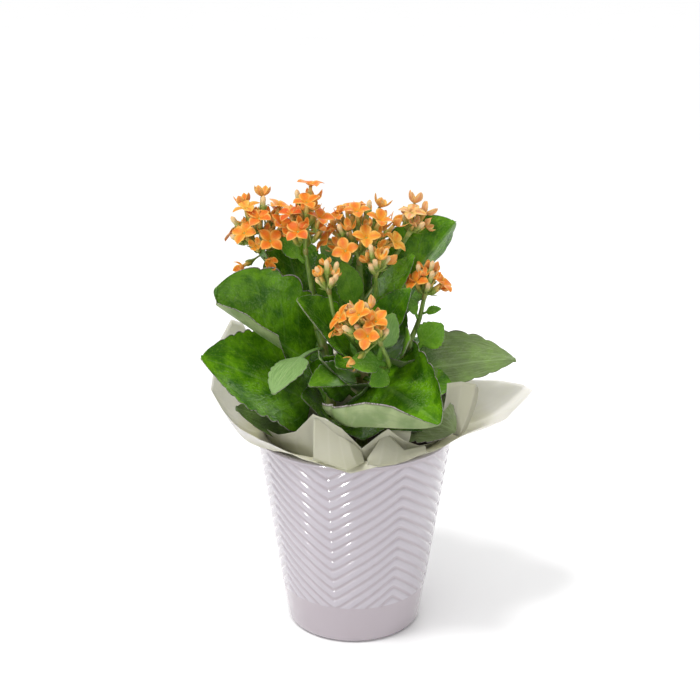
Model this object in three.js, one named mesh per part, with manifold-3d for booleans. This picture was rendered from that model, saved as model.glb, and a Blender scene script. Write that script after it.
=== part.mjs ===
// A potted kalanchoe in flower, in millimetres, +Z up, standing on z = 0 with its pot's axis on the Z axis.
// The front is -Y. A glazed cover pot with a chevron relief holds two square paper wraps pushed in as cups,
// a plastic nursery pot, potting soil, three fleshy stems, their leaves and their flower heads.
import * as THREE from "three";
import { mergeVertices } from "three/addons/utils/BufferGeometryUtils.js";
import Module from "manifold-3d";

const wasm = await Module();
wasm.setup();

// ---------------------------------------------------------------- driving dimensions
const CLEARANCE = 0.3; // between two pieces that touch

const POT_TOP_RADIUS = 61;
const POT_BASE_RADIUS = 42.5;
const POT_HEIGHT = 126;
const POT_WALL = 4;
const POT_FLOOR = 5;
const FOOT_ROUNDING = 4;
const RIM_ROUNDING = 1.2;

const RIB_BOTTOM = 26; // the smooth band below the relief ends here
const RIB_TOP = 121.5;
const RIB_PITCH = 7.1; // upright distance from one rib to the next
const RIB_RISE = 29; // climb of a rib from its valley to its peak
const RIB_OUT = 0.35;
const RIB_IN = 0.65;
const CORE_DEPTH = 1; // the smooth core under the relief lies this far in
const ZIGZAGS = 4; // valleys round the pot
const VALLEY_AT = -105; // azimuth of one valley, in degrees
const CUTTER_REACH = 90; // radius of the plain bodies that only cut

const WRAP_THICKNESS = 0.7;
const FLARE_ROWS = 4;
const WRAP_PLAY = 0.1; // more room for the flats of the wraps
const MOUTH_INSET = 0.8; // of a wrap's inset, left where it passes the rim
const CUP_TOP = 124; // the wraps run straight down the pot's inner wall from here
const OUTER_LIFT = 1.6; // the wraps pass the rim this far above it
const INNER_LIFT = 3.4;
const NURSERY_TOP_RADIUS = 50;
const NURSERY_LIP_RADIUS = 51.2;
const NURSERY_LIP_HEIGHT = 8;
const NURSERY_TOP = 114;
const NURSERY_WALL = 1.2;
const NURSERY_PLAY = 0.5;
const LIP_SLOPE = 1;
const DRAIN_RADIUS = 4;
const DRAIN_CIRCLE = 24;
const DRAINS = 4;
const CUTTER_SIDES = 8;

const SOIL_TOP = 106;
const SOIL_CROWN = 3; // how much the soil stands higher round the stems
const SOIL_EDGE = 1; // how much lower the soil lies along its edge
const SOIL_PLAY = 0.2;
const SOIL_SIDES = 28;
// The mound: [share of the soil's radius, share of its crown].
const SOIL_MOUND = [
  [0.7, 0.4],
  [0.35, 1],
  [0, 1],
];
const STEM_DEPTH = 24; // length of stem in the soil
const STEM_HOLE_PLAY = 0.7;
const STEM_HOLE_SIDES = 10;
const STEM_STEPS = 9;
const STEM_SIDES = 7;
const STALK_STEPS = 5;
const STALK_SIDES = 5;
const STALK_SWELL = 1.3; // a flower stalk is this much thicker where it leaves its stem

const LEAF_THICKNESS = 1.3;
const LARGE_WIDTH = 36; // leaves wider than this get the finer grid
const LARGE_GRID = [10, 4]; // rows along the leaf, columns across it
const SMALL_GRID = [6, 2];
const USUAL_FULL = 0.45; // a leaf is fullest at this share of its blade
const USUAL_TAPER = 0.66;
const USUAL_BREADTH = 40; // of the broad leaves, for the breadth of their petioles
const OPEN_AFTER = 0.25; // share of the blade over which its halves open out to their full fold
const PETIOLE_WIDTH = 3.4;
const PETIOLE_THICKNESS = 2.4;
const STEM_FLATS = 0.5; // play for the straight pieces of a stem between its rings
const PETIOLE_SHARE = 0.16; // of a leaf's length
const LEAF_TIP_AT = 0.985; // the outline is cut off here, so that a tip keeps some width
const NOTCHES_FROM = 0.3; // share of the blade at which its margin starts to be crenate
const NOTCH_DEPTH = 0.07; // of a crenate margin, as a share of the half width
const BLADE_SINK = 0.06; // of each half between midrib and margin, as a share of its width

const PETAL_LENGTH = 7.9;
const PETAL_THICKNESS = 0.7;
const THROAT_DEPTH = 1.6;
const FLOWER_TUBE = 9;
const TUBE_SHARE = 0.62; // longest tube, as a share of a flower's distance from its hub
const TUBE_TOP_RADIUS = 1;
const CALYX_RADIUS = 1.6;
const PEDICEL_RADIUS = 0.6;
const OPEN_LEAN = 70; // degrees between a flower's axis and its petals
const HALF_OPEN_LEAN = 36;
const BUD_LENGTH = 9.5;
const BUD_RADIUS = 1.7;
// A bud from its foot to its tip: [share of its length, radius].
const BUD_PROFILE = [
  [0, PEDICEL_RADIUS],
  [0.4, BUD_RADIUS],
  [0.8, BUD_RADIUS * 0.8],
  [1, 0.35],
];
const HUB_LENGTH = 3;
const HUB_RADIUS = 1.3;
const HUB_SIDES = 5;
const THIN_SIDES = 4; // of branches, flower tubes and buds
const BRANCH_RADIUS = 0.8;
const FORK_RADIUS = 1.7;
const FORK_TILT = 0.75; // radians from upright of the forks of a head
const SPROUT_DEPTH = 0.35; // where in its fork a flower's stalk starts, as a share of the fork's radius
const FORK_REACH = 0.42; // share of a head's dome at which its branches fork
const FORKED_FROM = 8; // a head of fewer flowers has no branches
const FLOWERS_PER_FORK = 5;
const BUD_REACH = 0.86;
const FLOWER_SCATTER = 0.14;
const LOWEST_TILT = 1.3; // radians from upright of the lowest flowers of a dome
const FACE_UP = 0.1; // how much the flowers turn up from straight outward
const LEAN_SPREAD = 12; // degrees by which open flowers differ
// How fast a head's draw turns its first flower, picks its buds and turns each flower on its stalk.
const START_DRAW = 20;
const BUD_DRAW = 7;
const BUD_SPREAD = 3;
const TURN_SPREAD = 6.28;

const ROUND_SIDES = 32; // of the pot and of all that lies in it, so that their flats run side by side
const GOLDEN_ANGLE = Math.PI * (3 - Math.sqrt(5));
const GOLDEN_SHARE = (Math.sqrt(5) - 1) / 2;
const UP = new THREE.Vector3(0, 0, 1);

// ---------------------------------------------------------------- finishes
const finish = (color, roughness) => new THREE.MeshStandardMaterial({ color, roughness, metalness: 0 });
const GLAZE = finish(0xddd6de, 0.18);
const NURSERY_PLASTIC = finish(0x3a2b24, 0.55);
const SOIL = finish(0x35261b, 0.95);
const PAPER = finish(0xd9d9c3, 0.6);
const STEM = finish(0x7f9a35, 0.5);
const LEAF = finish(0x2f7a1c, 0.35);
const YOUNG_LEAF = finish(0x7ba45f, 0.45);
const FLOWER = finish(0xf38a3c, 0.5);

// ---------------------------------------------------------------- general helpers
const vec = (p) => new THREE.Vector3(...p);
const radians = THREE.MathUtils.degToRad;
const share = (n) => n - Math.floor(n);

/** A closed three.js geometry as a solid that can be cut and joined. */
function solidOf(geometry) {
  const bare = new THREE.BufferGeometry();
  bare.setAttribute("position", geometry.getAttribute("position"));
  bare.setIndex(geometry.index);
  const merged = mergeVertices(bare, 1e-4);
  const mesh = new wasm.Mesh({
    numProp: 3,
    vertProperties: merged.getAttribute("position").array,
    triVerts: new Uint32Array(merged.index.array),
  });
  return new wasm.Manifold(mesh);
}

/** The geometry of a solid. */
function geometryOf(solid) {
  const mesh = solid.getMesh();
  const geometry = new THREE.BufferGeometry();
  geometry.setAttribute("position", new THREE.BufferAttribute(mesh.vertProperties, mesh.numProp));
  geometry.setIndex(new THREE.BufferAttribute(mesh.triVerts, 1));
  return geometry;
}

const fuse = (geometries) => geometryOf(geometries.map(solidOf).reduce((all, one) => all.add(one)));

/** Triangles by their points: a geometry from a list of points and a list of index triples. */
function meshOf(points, triangles) {
  const geometry = new THREE.BufferGeometry();
  geometry.setAttribute("position", new THREE.Float32BufferAttribute(points.flatMap((p) => p.toArray()), 3));
  geometry.setIndex(triangles.flat());
  return geometry;
}

/** A body of revolution from [radius, height] pairs that start and end on the axis. */
function turned(profile, sides = ROUND_SIDES) {
  const points = profile.map(([radius, height]) => new THREE.Vector2(radius, height));
  const geometry = new THREE.LatheGeometry(points, sides);
  geometry.rotateX(Math.PI / 2);
  geometry.rotateZ(radians(VALLEY_AT - 90));
  return geometry;
}

/** A closed body through rings of equally many points, with a fan over each end. */
function lofted(rings) {
  const count = rings[0].length;
  const middle = (ring) => ring.reduce((sum, p) => sum.add(p), new THREE.Vector3()).divideScalar(count);
  const points = [...rings.flat(), middle(rings[0]), middle(rings.at(-1))];
  const [first, last] = [points.length - 2, points.length - 1];
  const top = (rings.length - 1) * count;
  const triangles = [];
  for (let j = 0; j < count; j++) {
    const next = (j + 1) % count;
    triangles.push([first, next, j], [last, top + j, top + next]);
    for (let i = 0; i < top; i += count) {
      triangles.push([i + j, i + next, i + count + next], [i + j, i + count + next, i + count + j]);
    }
  }
  return meshOf(points, triangles);
}

/** Two unit vectors that make a right-handed set with a direction, the first of them level. */
function squareTo(direction) {
  const level = Math.abs(direction.z) > 0.95 ? new THREE.Vector3(1, 0, 0) : UP;
  const side = new THREE.Vector3().crossVectors(direction, level).normalize();
  return [side, new THREE.Vector3().crossVectors(direction, side)];
}

/** A ring of points round a centre, square to a direction. */
function ringRound(centre, direction, radius, sides, turn = 0) {
  const [side, other] = squareTo(direction);
  return Array.from({ length: sides }, (_, j) => {
    const angle = turn + (2 * Math.PI * j) / sides;
    const point = centre.clone().addScaledVector(side, radius * Math.cos(angle));
    return point.addScaledVector(other, radius * Math.sin(angle));
  });
}

/** A straight rod between two points, narrowing from one radius to the other. */
function rod(from, to, fromRadius, toRadius, sides) {
  const direction = to.clone().sub(from).normalize();
  return lofted([ringRound(from, direction, fromRadius, sides), ringRound(to, direction, toRadius, sides)]);
}

/** A stalk along a smooth curve through points, narrowing evenly, with a level frame that never flips. */
function stalk(curve, fromRadius, toRadius, steps, sides) {
  const frames = curve.computeFrenetFrames(steps, false);
  const rings = frames.tangents.map((_, i) => {
    const radius = THREE.MathUtils.lerp(fromRadius, toRadius, i / steps);
    const centre = curve.getPointAt(i / steps);
    return Array.from({ length: sides }, (_unused, j) => {
      const angle = (2 * Math.PI * j) / sides;
      return centre
        .clone()
        .addScaledVector(frames.normals[i], radius * Math.cos(angle))
        .addScaledVector(frames.binormals[i], radius * Math.sin(angle));
    });
  });
  return lofted(rings);
}

/** A thin closed blade over a grid. at(i, j, face) gives a point, with face +1 above and -1 below. */
function blade(rows, columns, at) {
  const points = [];
  const triangles = [];
  const width = columns + 1;
  const below = (rows + 1) * width;
  for (const face of [1, -1]) {
    for (let i = 0; i <= rows; i++) {
      for (let j = 0; j <= columns; j++) points.push(at(i, j, face));
    }
  }
  const wall = (a, b) => triangles.push([a, b + below, a + below], [a, b, b + below]);
  for (let i = 0; i < rows; i++) {
    for (let j = 0; j < columns; j++) {
      const a = i * width + j;
      const [b, c, d] = [a + width, a + width + 1, a + 1];
      triangles.push([a, c, b], [a, d, c]);
      triangles.push([a + below, b + below, c + below], [a + below, c + below, d + below]);
    }
    wall(i * width, (i + 1) * width);
    wall((i + 1) * width + columns, i * width + columns);
  }
  for (let j = 0; j < columns; j++) {
    wall(j + 1, j);
    wall(rows * width + j, rows * width + j + 1);
  }
  return meshOf(points, triangles);
}

// ---------------------------------------------------------------- cover pot
const potRadius = (z) => THREE.MathUtils.lerp(POT_BASE_RADIUS, POT_TOP_RADIUS, z / POT_HEIGHT);

/** Height of a rib above its valley at an azimuth in degrees: a triangle wave. */
function zigzag(azimuth) {
  const phase = share(((azimuth - VALLEY_AT) * ZIGZAGS) / 360);
  return RIB_RISE * (1 - Math.abs(2 * phase - 1));
}

/** The relief: a cone whose rows follow the chevrons and lie by turns on a rib and in a groove. */
function chevronRelief() {
  const step = RIB_PITCH / 2;
  const rows = Math.ceil((RIB_TOP - RIB_BOTTOM + RIB_RISE) / step) + 2;
  const rings = Array.from({ length: rows }, (_, i) => {
    const lift = i % 2 ? RIB_OUT : -RIB_IN;
    return Array.from({ length: ROUND_SIDES }, (_unused, j) => {
      const azimuth = VALLEY_AT + (360 * j) / ROUND_SIDES;
      const z = RIB_BOTTOM - RIB_RISE - step / 2 + i * step + zigzag(azimuth);
      const radius = potRadius(z) + lift;
      return new THREE.Vector3(radius * Math.cos(radians(azimuth)), radius * Math.sin(radians(azimuth)), z);
    });
  });
  return lofted(rings);
}

function coverPot() {
  const plain = [[0, 0]];
  for (const angle of [0, 45, 90].map(radians)) {
    const radius = potRadius(FOOT_ROUNDING) - FOOT_ROUNDING * (1 - Math.sin(angle));
    plain.push([radius, FOOT_ROUNDING * (1 - Math.cos(angle))]);
  }
  const inner = potRadius(POT_HEIGHT) - POT_WALL;
  plain.push([potRadius(RIB_BOTTOM), RIB_BOTTOM]);
  plain.push([potRadius(RIB_BOTTOM) - CORE_DEPTH, RIB_BOTTOM + CORE_DEPTH]);
  plain.push([potRadius(RIB_TOP) - CORE_DEPTH, RIB_TOP - CORE_DEPTH]);
  plain.push([potRadius(RIB_TOP), RIB_TOP]);
  plain.push([POT_TOP_RADIUS, POT_HEIGHT - RIM_ROUNDING]);
  plain.push([POT_TOP_RADIUS - RIM_ROUNDING, POT_HEIGHT]);
  plain.push([0, POT_HEIGHT]);
  const cavity = [
    [0, POT_FLOOR],
    [potRadius(POT_FLOOR) - POT_WALL, POT_FLOOR],
    [inner, POT_HEIGHT - RIM_ROUNDING],
    [inner + RIM_ROUNDING, POT_HEIGHT + POT_WALL],
    [0, POT_HEIGHT + POT_WALL],
  ];
  const slab = new THREE.CylinderGeometry(CUTTER_REACH, CUTTER_REACH, RIB_TOP - RIB_BOTTOM, CUTTER_SIDES);
  slab.rotateX(Math.PI / 2);
  slab.translate(0, 0, (RIB_TOP + RIB_BOTTOM) / 2);
  const relief = solidOf(chevronRelief()).intersect(solidOf(slab));
  return geometryOf(solidOf(turned(plain)).add(relief).subtract(solidOf(turned(cavity))));
}

// ---------------------------------------------------------------- paper wraps
// Each wrap lines the cover pot as a cup and flares over the rim, creased from the mouth to its edge. One row
// for each crease, evenly round the mouth: [azimuth, radius, height] of its outer end, and how far the paper
// sags between.
const OUTER_WRAP = [
  [-104, 65, 127.5, -1.5],
  [-92, 65.5, 124, -4],
  [-81, 65.5, 127, -1.5],
  [-71, 65, 129, -1],
  [-60, 65, 129.5, -1],
  [-49, 65.5, 130, -1],
  [-37, 67, 131, 0],
  [-24, 76, 136, 1],
  [-12, 95, 141, 3],
  [3, 112, 150, 5],
  [11, 110, 151, 3],
  [20, 100, 151, 2],
  [30, 82, 148, 2],
  [42, 74, 144, 2],
  [54, 73, 145, 2],
  [64, 75, 149, 3],
  [76, 82, 157, 5],
  [89, 89, 162, 5],
  [98, 85, 158, 4],
  [108, 78, 151, 4],
  [121, 72, 146, 2],
  [131, 72, 146, 2],
  [144, 75, 158, 3],
  [155, 78, 186, 4],
  [164, 82, 192, 5],
  [174, 88, 181, 7],
  [186, 88, 156, 9],
  [197, 83, 147, 8],
  [208, 78, 142, 6],
  [221, 73, 138, 3],
  [232, 68, 134, 1],
  [243, 66, 130.5, -1],
];
const INNER_WRAP = [
  [-106, 60, 155, 0],
  [-97, 61, 150, 0],
  [-86, 60, 137, 0],
  [-71, 60.5, 148, 0],
  [-62, 61, 140, 0],
  [-50, 60, 133, 0],
  [-38, 60, 131.5, 0],
  [-26, 61, 132, 0],
  [-14, 62, 140, 1],
  [-1, 64, 147, 1],
  [10, 68, 158, 2],
  [20, 72, 160, 2],
  [29, 68, 160, 2],
  [39, 64, 154, 1],
  [52, 61, 148, 1],
  [64, 61, 149, 1],
  [76, 64, 158, 1],
  [88, 66, 167, 2],
  [99, 63, 159, 1],
  [110, 61, 150, 1],
  [120, 60, 146, 1],
  [131, 61, 150, 1],
  [144, 64, 158, 2],
  [156, 67, 165, 2],
  [166, 68, 163, 2],
  [177, 67, 155, 2],
  [188, 65, 148, 2],
  [200, 64, 142, 1],
  [211, 63, 138, 1],
  [222, 62, 134, 0],
  [234, 61, 142, 0],
  [247, 60.5, 157, 0],
];

const polar = (azimuth, radius, z) =>
  new THREE.Vector3(radius * Math.cos(radians(azimuth)), radius * Math.sin(radians(azimuth)), z);

/** One wrap; inset: how far it lies in from the cover pot's inner wall, lift: its height over the rim. */
function paperWrap(creases, inset, lift) {
  const columns = creases.length;
  const cup = [
    [potRadius(POT_FLOOR) - POT_WALL - inset, POT_FLOOR + inset],
    [potRadius(CUP_TOP) - POT_WALL - inset, CUP_TOP],
  ];
  const rows = cup.length + FLARE_ROWS;
  const middle = (i, j) => {
    const k = (j + columns) % columns;
    const mouthAt = VALLEY_AT + (360 * k) / columns;
    if (i < cup.length) return polar(mouthAt, ...cup[i]);
    const [edgeAt, radius, height, sag] = creases[k];
    const t = (i - cup.length) / FLARE_ROWS;
    const start = polar(mouthAt, POT_TOP_RADIUS - POT_WALL - inset * MOUTH_INSET, POT_HEIGHT + lift);
    const point = start.lerp(polar(edgeAt, radius, height), t);
    return point.setZ(point.z - 4 * sag * t * (1 - t));
  };
  const outward = (i, j) => {
    if (i === 0) return polar(VALLEY_AT + (360 * j) / columns, 1, -1);
    const along = middle(Math.min(i + 1, rows), j).sub(middle(i - 1, j));
    return middle(i, j + 1).sub(middle(i, j - 1)).cross(along).normalize();
  };
  const points = [];
  for (const face of [1, -1]) {
    for (let i = 0; i <= rows; i++) {
      for (let j = 0; j < columns; j++) {
        points.push(middle(i, j).addScaledVector(outward(i, j), (face * WRAP_THICKNESS) / 2));
      }
    }
  }
  const inner = (rows + 1) * columns;
  const [under, over] = [points.length, points.length + 1];
  points.push(new THREE.Vector3(0, 0, points[0].z), new THREE.Vector3(0, 0, points[inner].z));
  const triangles = [];
  for (let j = 0; j < columns; j++) {
    const next = (j + 1) % columns;
    triangles.push([under, next, j], [over, inner + j, inner + next]);
    for (let row = 0; row < rows * columns; row += columns) {
      const [a, b, c, d] = [row + j, row + next, row + columns + next, row + columns + j];
      triangles.push([a, b, c], [a, c, d]);
      triangles.push([a + inner, c + inner, b + inner], [a + inner, d + inner, c + inner]);
    }
    const [a, b] = [rows * columns + j, rows * columns + next];
    triangles.push([a, b, b + inner], [a, b + inner, a + inner]);
  }
  return meshOf(points, triangles);
}

// ---------------------------------------------------------------- nursery pot and soil
const OUTER_INSET = CLEARANCE + WRAP_THICKNESS / 2 + WRAP_PLAY;
const INNER_INSET = OUTER_INSET + CLEARANCE + WRAP_THICKNESS;
const NURSERY_INSET = INNER_INSET + WRAP_THICKNESS / 2 + CLEARANCE;
const NURSERY_BASE = POT_FLOOR + NURSERY_INSET;
const NURSERY_BASE_RADIUS = potRadius(NURSERY_BASE) - POT_WALL - NURSERY_INSET - NURSERY_PLAY;

const nurseryRadius = (z) => {
  const t = (z - NURSERY_BASE) / (NURSERY_TOP - NURSERY_LIP_HEIGHT - NURSERY_BASE);
  return THREE.MathUtils.lerp(NURSERY_BASE_RADIUS, NURSERY_TOP_RADIUS, t);
};

function nurseryPot() {
  const lipFoot = NURSERY_TOP - NURSERY_LIP_HEIGHT;
  const shell = turned([
    [0, NURSERY_BASE],
    [NURSERY_BASE_RADIUS, NURSERY_BASE],
    [NURSERY_TOP_RADIUS, lipFoot],
    [NURSERY_LIP_RADIUS, lipFoot + LIP_SLOPE],
    [NURSERY_LIP_RADIUS, NURSERY_TOP],
    [NURSERY_LIP_RADIUS - NURSERY_WALL, NURSERY_TOP],
    [NURSERY_TOP_RADIUS - NURSERY_WALL, lipFoot],
    [NURSERY_BASE_RADIUS - NURSERY_WALL, NURSERY_BASE + NURSERY_WALL],
    [0, NURSERY_BASE + NURSERY_WALL],
  ]);
  let made = solidOf(shell);
  for (let k = 0; k < DRAINS; k++) {
    const hole = new THREE.CylinderGeometry(DRAIN_RADIUS, DRAIN_RADIUS, 5 * NURSERY_WALL, CUTTER_SIDES);
    hole.rotateX(Math.PI / 2);
    const angle = (2 * Math.PI * k) / DRAINS;
    hole.translate(DRAIN_CIRCLE * Math.cos(angle), DRAIN_CIRCLE * Math.sin(angle), NURSERY_BASE);
    made = made.subtract(solidOf(hole));
  }
  return geometryOf(made);
}

function soil(stems) {
  const wall = NURSERY_WALL + CLEARANCE;
  const base = NURSERY_BASE + wall;
  const rim = nurseryRadius(SOIL_TOP - SOIL_EDGE) - wall;
  const outline = [
    [0, base],
    [nurseryRadius(base) - wall - SOIL_PLAY, base],
    [rim - SOIL_PLAY, SOIL_TOP - SOIL_EDGE],
    ...SOIL_MOUND.map(([reach, rise]) => [rim * reach, SOIL_TOP + SOIL_CROWN * rise]),
  ];
  let made = solidOf(turned(outline, SOIL_SIDES));
  for (const stem of stems) {
    const low = stem.curve.getPointAt(0);
    const bottom = low.z - CLEARANCE;
    const radius = stem.foot + STEM_HOLE_PLAY;
    const hole = new THREE.CylinderGeometry(radius, radius, SOIL_TOP, STEM_HOLE_SIDES);
    hole.rotateX(Math.PI / 2);
    hole.translate(low.x, low.y, bottom + SOIL_TOP / 2);
    made = made.subtract(solidOf(hole));
  }
  return geometryOf(made);
}

// ---------------------------------------------------------------- stems
// A stem rises straight out of the soil; its points, radii and the flower stalks that branch from it.
// A head says the half width and half depth of its dome and its height over the end of its stalk, its lean
// to the right and to the front, how many flowers are open, half open and in bud, and where its draw of
// places starts.
const STEM_END = SOIL_TOP + SOIL_CROWN - STEM_DEPTH;
const STEMS = {
  left: {
    foot: 3.6,
    tip: 1.7,
    points: [
      [-13, 4, STEM_END],
      [-13, 4, 116],
      [-15, 5, 150],
      [-21, 6, 185],
      [-36, 5, 212],
      [-54, 2, 236],
    ],
    head: {
      name: "left",
      size: [21, 18, 38],
      lean: [-1, 1],
      open: 10, half: 3, buds: 2, draw: 0.58,
    },
    stalks: [
      {
        radius: 1.4,
        points: [[-23, 6, 190], [-25, -1, 214], [-28.5, -8, 240]],
        head: {
          name: "left_middle",
          size: [12, 15, 38],
          lean: [0, 3],
          open: 6, half: 2, buds: 1, draw: 0.32,
        },
      },
    ],
  },
  middle: {
    foot: 4,
    tip: 2,
    points: [
      [5, 6, STEM_END],
      [5, 6, 116],
      [5, 4, 150],
      [5, 1, 190],
      [3, -2, 232],
    ],
    head: {
      name: "middle",
      size: [25, 20, 40],
      lean: [1, 2],
      open: 10, half: 4, buds: 2, draw: 0.3,
    },
    stalks: [
      {
        radius: 1.1,
        points: [[5, 2, 176], [-2, -17, 190], [-11, -29, 206], [-14.5, -30, 222]],
        head: {
          name: "bud_left",
          size: [8, 8, 18],
          lean: [0, 0],
          open: 0, half: 2, buds: 3, draw: 0.22,
        },
      },
      {
        radius: 1.1,
        points: [[4, 0, 208], [12, -12, 214], [12.5, -25, 231]],
        head: {
          name: "bud_right",
          size: [9, 8, 17],
          lean: [0, 0],
          open: 0, half: 2, buds: 3, draw: 0.5,
        },
      },
      {
        radius: 1.2,
        points: [[5, 2, 172], [13, -26, 175], [20, -45, 183], [15, -50, 197]],
        head: {
          name: "front",
          size: [17, 13, 25],
          lean: [-13, 6],
          open: 6, half: 3, buds: 3, draw: 0.31,
        },
      },
      {
        radius: 1.4,
        points: [[5, 1, 188], [8, 22, 208], [2, 33, 228]],
        head: {
          name: "back",
          size: [24, 14, 32],
          lean: [0, -4],
          open: 5, half: 1, buds: 1, draw: 0.19,
        },
      },
      {
        radius: 1.3,
        points: [[4, 0, 206], [18, 1, 226], [32, 6, 248]],
        head: {
          name: "right_rear",
          size: [8, 9, 19],
          lean: [4, -1],
          open: 2, half: 2, buds: 1, draw: 0.09,
        },
      },
    ],
  },
  right: {
    foot: 3.2,
    tip: 1.3,
    points: [
      [17, -7, STEM_END],
      [17, -7, 116],
      [21, -7, 148],
      [31, -6, 178],
      [39, -5, 198],
      [42, -5, 212],
    ],
    head: {
      name: "right",
      size: [10, 9, 21],
      lean: [1, 1],
      open: 3, half: 1, buds: 3, draw: 0.33,
    },
    stalks: [],
  },
};

const curveThrough = (points) => new THREE.CatmullRomCurve3(points.map(vec), false, "centripetal");
for (const stem of Object.values(STEMS)) {
  for (const part of [stem, ...stem.stalks]) part.curve = curveThrough(part.points);
}

const stemBody = (stem) =>
  fuse([
    stalk(stem.curve, stem.foot, stem.tip, STEM_STEPS, STEM_SIDES),
    ...stem.stalks.map((side) =>
      stalk(side.curve, side.radius * STALK_SWELL, side.radius, STALK_STEPS, STALK_SIDES),
    ),
  ]);

/** The point of a stem's axis at a height, and the stem's radius there. */
function stemAt(stem, z) {
  let [low, high] = [0, 1];
  while (high - low > 1e-7) {
    const t = (low + high) / 2;
    if (stem.curve.getPointAt(t).z < z) low = t;
    else high = t;
  }
  return [stem.curve.getPointAt(low), THREE.MathUtils.lerp(stem.foot, stem.tip, low)];
}

// ---------------------------------------------------------------- leaves
// Each leaf: the stem and the height that it grows from, or a point for a small leaf on a flower stalk; its
// tip; the way its upper face looks; arch, how far its midrib bows that way; full, the share of its length at
// which its blade is fullest; and taper, low for a blunt tip. A broad leaf gives the points of its left and
// right margin where it is fullest, seen from its foot with its upper face upward, and how far its halves
// sink; the others give a width and by how many degrees they fold.
const BROAD_LEAVES = [
  {
    name: "leaf_left_upper", on: "left", z: 163, full: 0.6, taper: 0.5, arch: 2, sink: 0.1,
    tip: [-80, -30, 215], left: [-55, -46, 207], right: [-43, -4, 227],
  },
  {
    name: "leaf_left_lower", on: "left", z: 137, full: 0.36, taper: 0.75, arch: 4,
    tip: [-89, -38, 185], left: [-47, -56, 151], right: [-49, -4, 191],
  },
  {
    name: "leaf_front_right", on: "middle", z: 160, full: 0.3, taper: 0.7, arch: 6, sink: 0.2,
    tip: [45, -72, 155], left: [41, -24, 184], right: [-17, -50, 158],
  },
  {
    name: "leaf_right_upper", on: "middle", z: 194, full: 0.42, taper: 0.7, arch: 2,
    tip: [61, 18, 254], left: [22, 14, 249], right: [52, 24, 230],
  },
  {
    name: "leaf_right", on: "right", z: 164, full: 0.34, taper: 0.75, arch: 3,
    tip: [101, 12, 168], left: [58, 26, 184], right: [64, -8, 159],
  },
];
const LEAVES = [
  {
    name: "leaf_right_under", on: "right", z: 152, width: 34, arch: 4, fold: 12,
    tip: [70, -6, 152], face: [0, -0.25, 0.95],
  },
  {
    name: "leaf_right_low", on: "right", z: 143, width: 34, arch: 3, fold: 10,
    tip: [60, -36, 145], face: [0.2, 0.75, 0.6],
  },
  {
    name: "leaf_left_back", on: "left", z: 196, width: 40, arch: 2, fold: 12,
    tip: [-45, 28, 247], face: [0.2, -0.95, 0.25],
  },
  {
    name: "leaf_back_left_low", on: "left", z: 142, width: 54, arch: 7, fold: 14,
    tip: [-60, 60, 170], face: [-0.3, 0.35, 0.9],
  },
  {
    name: "leaf_back_right_low", on: "middle", z: 144, width: 54, arch: 7, fold: 14,
    tip: [66, 54, 168], face: [0.3, 0.35, 0.9],
  },
  {
    name: "leaf_back_middle", on: "middle", z: 156, width: 54, arch: 7, fold: 14,
    tip: [2, 84, 184], face: [0, 0.3, 0.95],
  },
  {
    name: "leaf_back_left_upper", on: "left", z: 170, width: 44, arch: 5, fold: 14,
    tip: [-60, 50, 214], face: [-0.1, 0.1, 0.98],
  },
  {
    name: "leaf_back_right_upper", on: "middle", z: 178, width: 42, arch: 5, fold: 14,
    tip: [46, 54, 214], face: [0.1, 0.1, 0.98],
  },
  {
    name: "leaf_inner_left", on: "middle", z: 170, width: 34, arch: 2, fold: 22,
    tip: [-33, -34, 219], face: [0.5, -0.5, 0.7],
  },
  {
    name: "leaf_left_shade", on: "middle", z: 186, width: 26, arch: 1, fold: 12,
    tip: [-21, 10, 236], face: [0.1, -0.95, 0.3],
  },
  {
    name: "leaf_middle_dark", on: "middle", z: 178, width: 24, arch: 2, fold: 14,
    tip: [33, -25, 223], face: [-0.35, -0.8, 0.5],
  },
  {
    name: "leaf_middle_rear", width: 18, arch: 2, fold: 12,
    from: [8, -3.2, 198], tip: [35.5, -4, 238.5], face: [-0.3, -0.8, 0.55],
  },
  {
    name: "leaf_right_tall", on: "middle", z: 160, width: 22, arch: 1, fold: 12,
    tip: [31, 3, 203], face: [-0.2, -0.95, 0.2],
  },
  {
    name: "leaf_low_front", on: "middle", z: 128, width: 36, arch: 4, fold: 10,
    tip: [-4, -47, 141], face: [0, -0.3, 0.95],
  },
  {
    name: "leaf_low_middle", on: "left", z: 126, width: 26, arch: 4, fold: 10,
    tip: [-17, -44, 136], face: [0, -0.3, 0.95],
  },
  {
    name: "leaf_left_inner", on: "middle", z: 147, width: 30, arch: 2, fold: 14,
    tip: [-27, -14, 173], face: [0.3, -0.7, 0.6],
  },
  {
    name: "leaf_low_left", on: "left", z: 122, width: 26, arch: 0, fold: 8,
    tip: [-70, -44, 153], face: [-0.35, -0.3, 0.9],
  },
];
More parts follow.
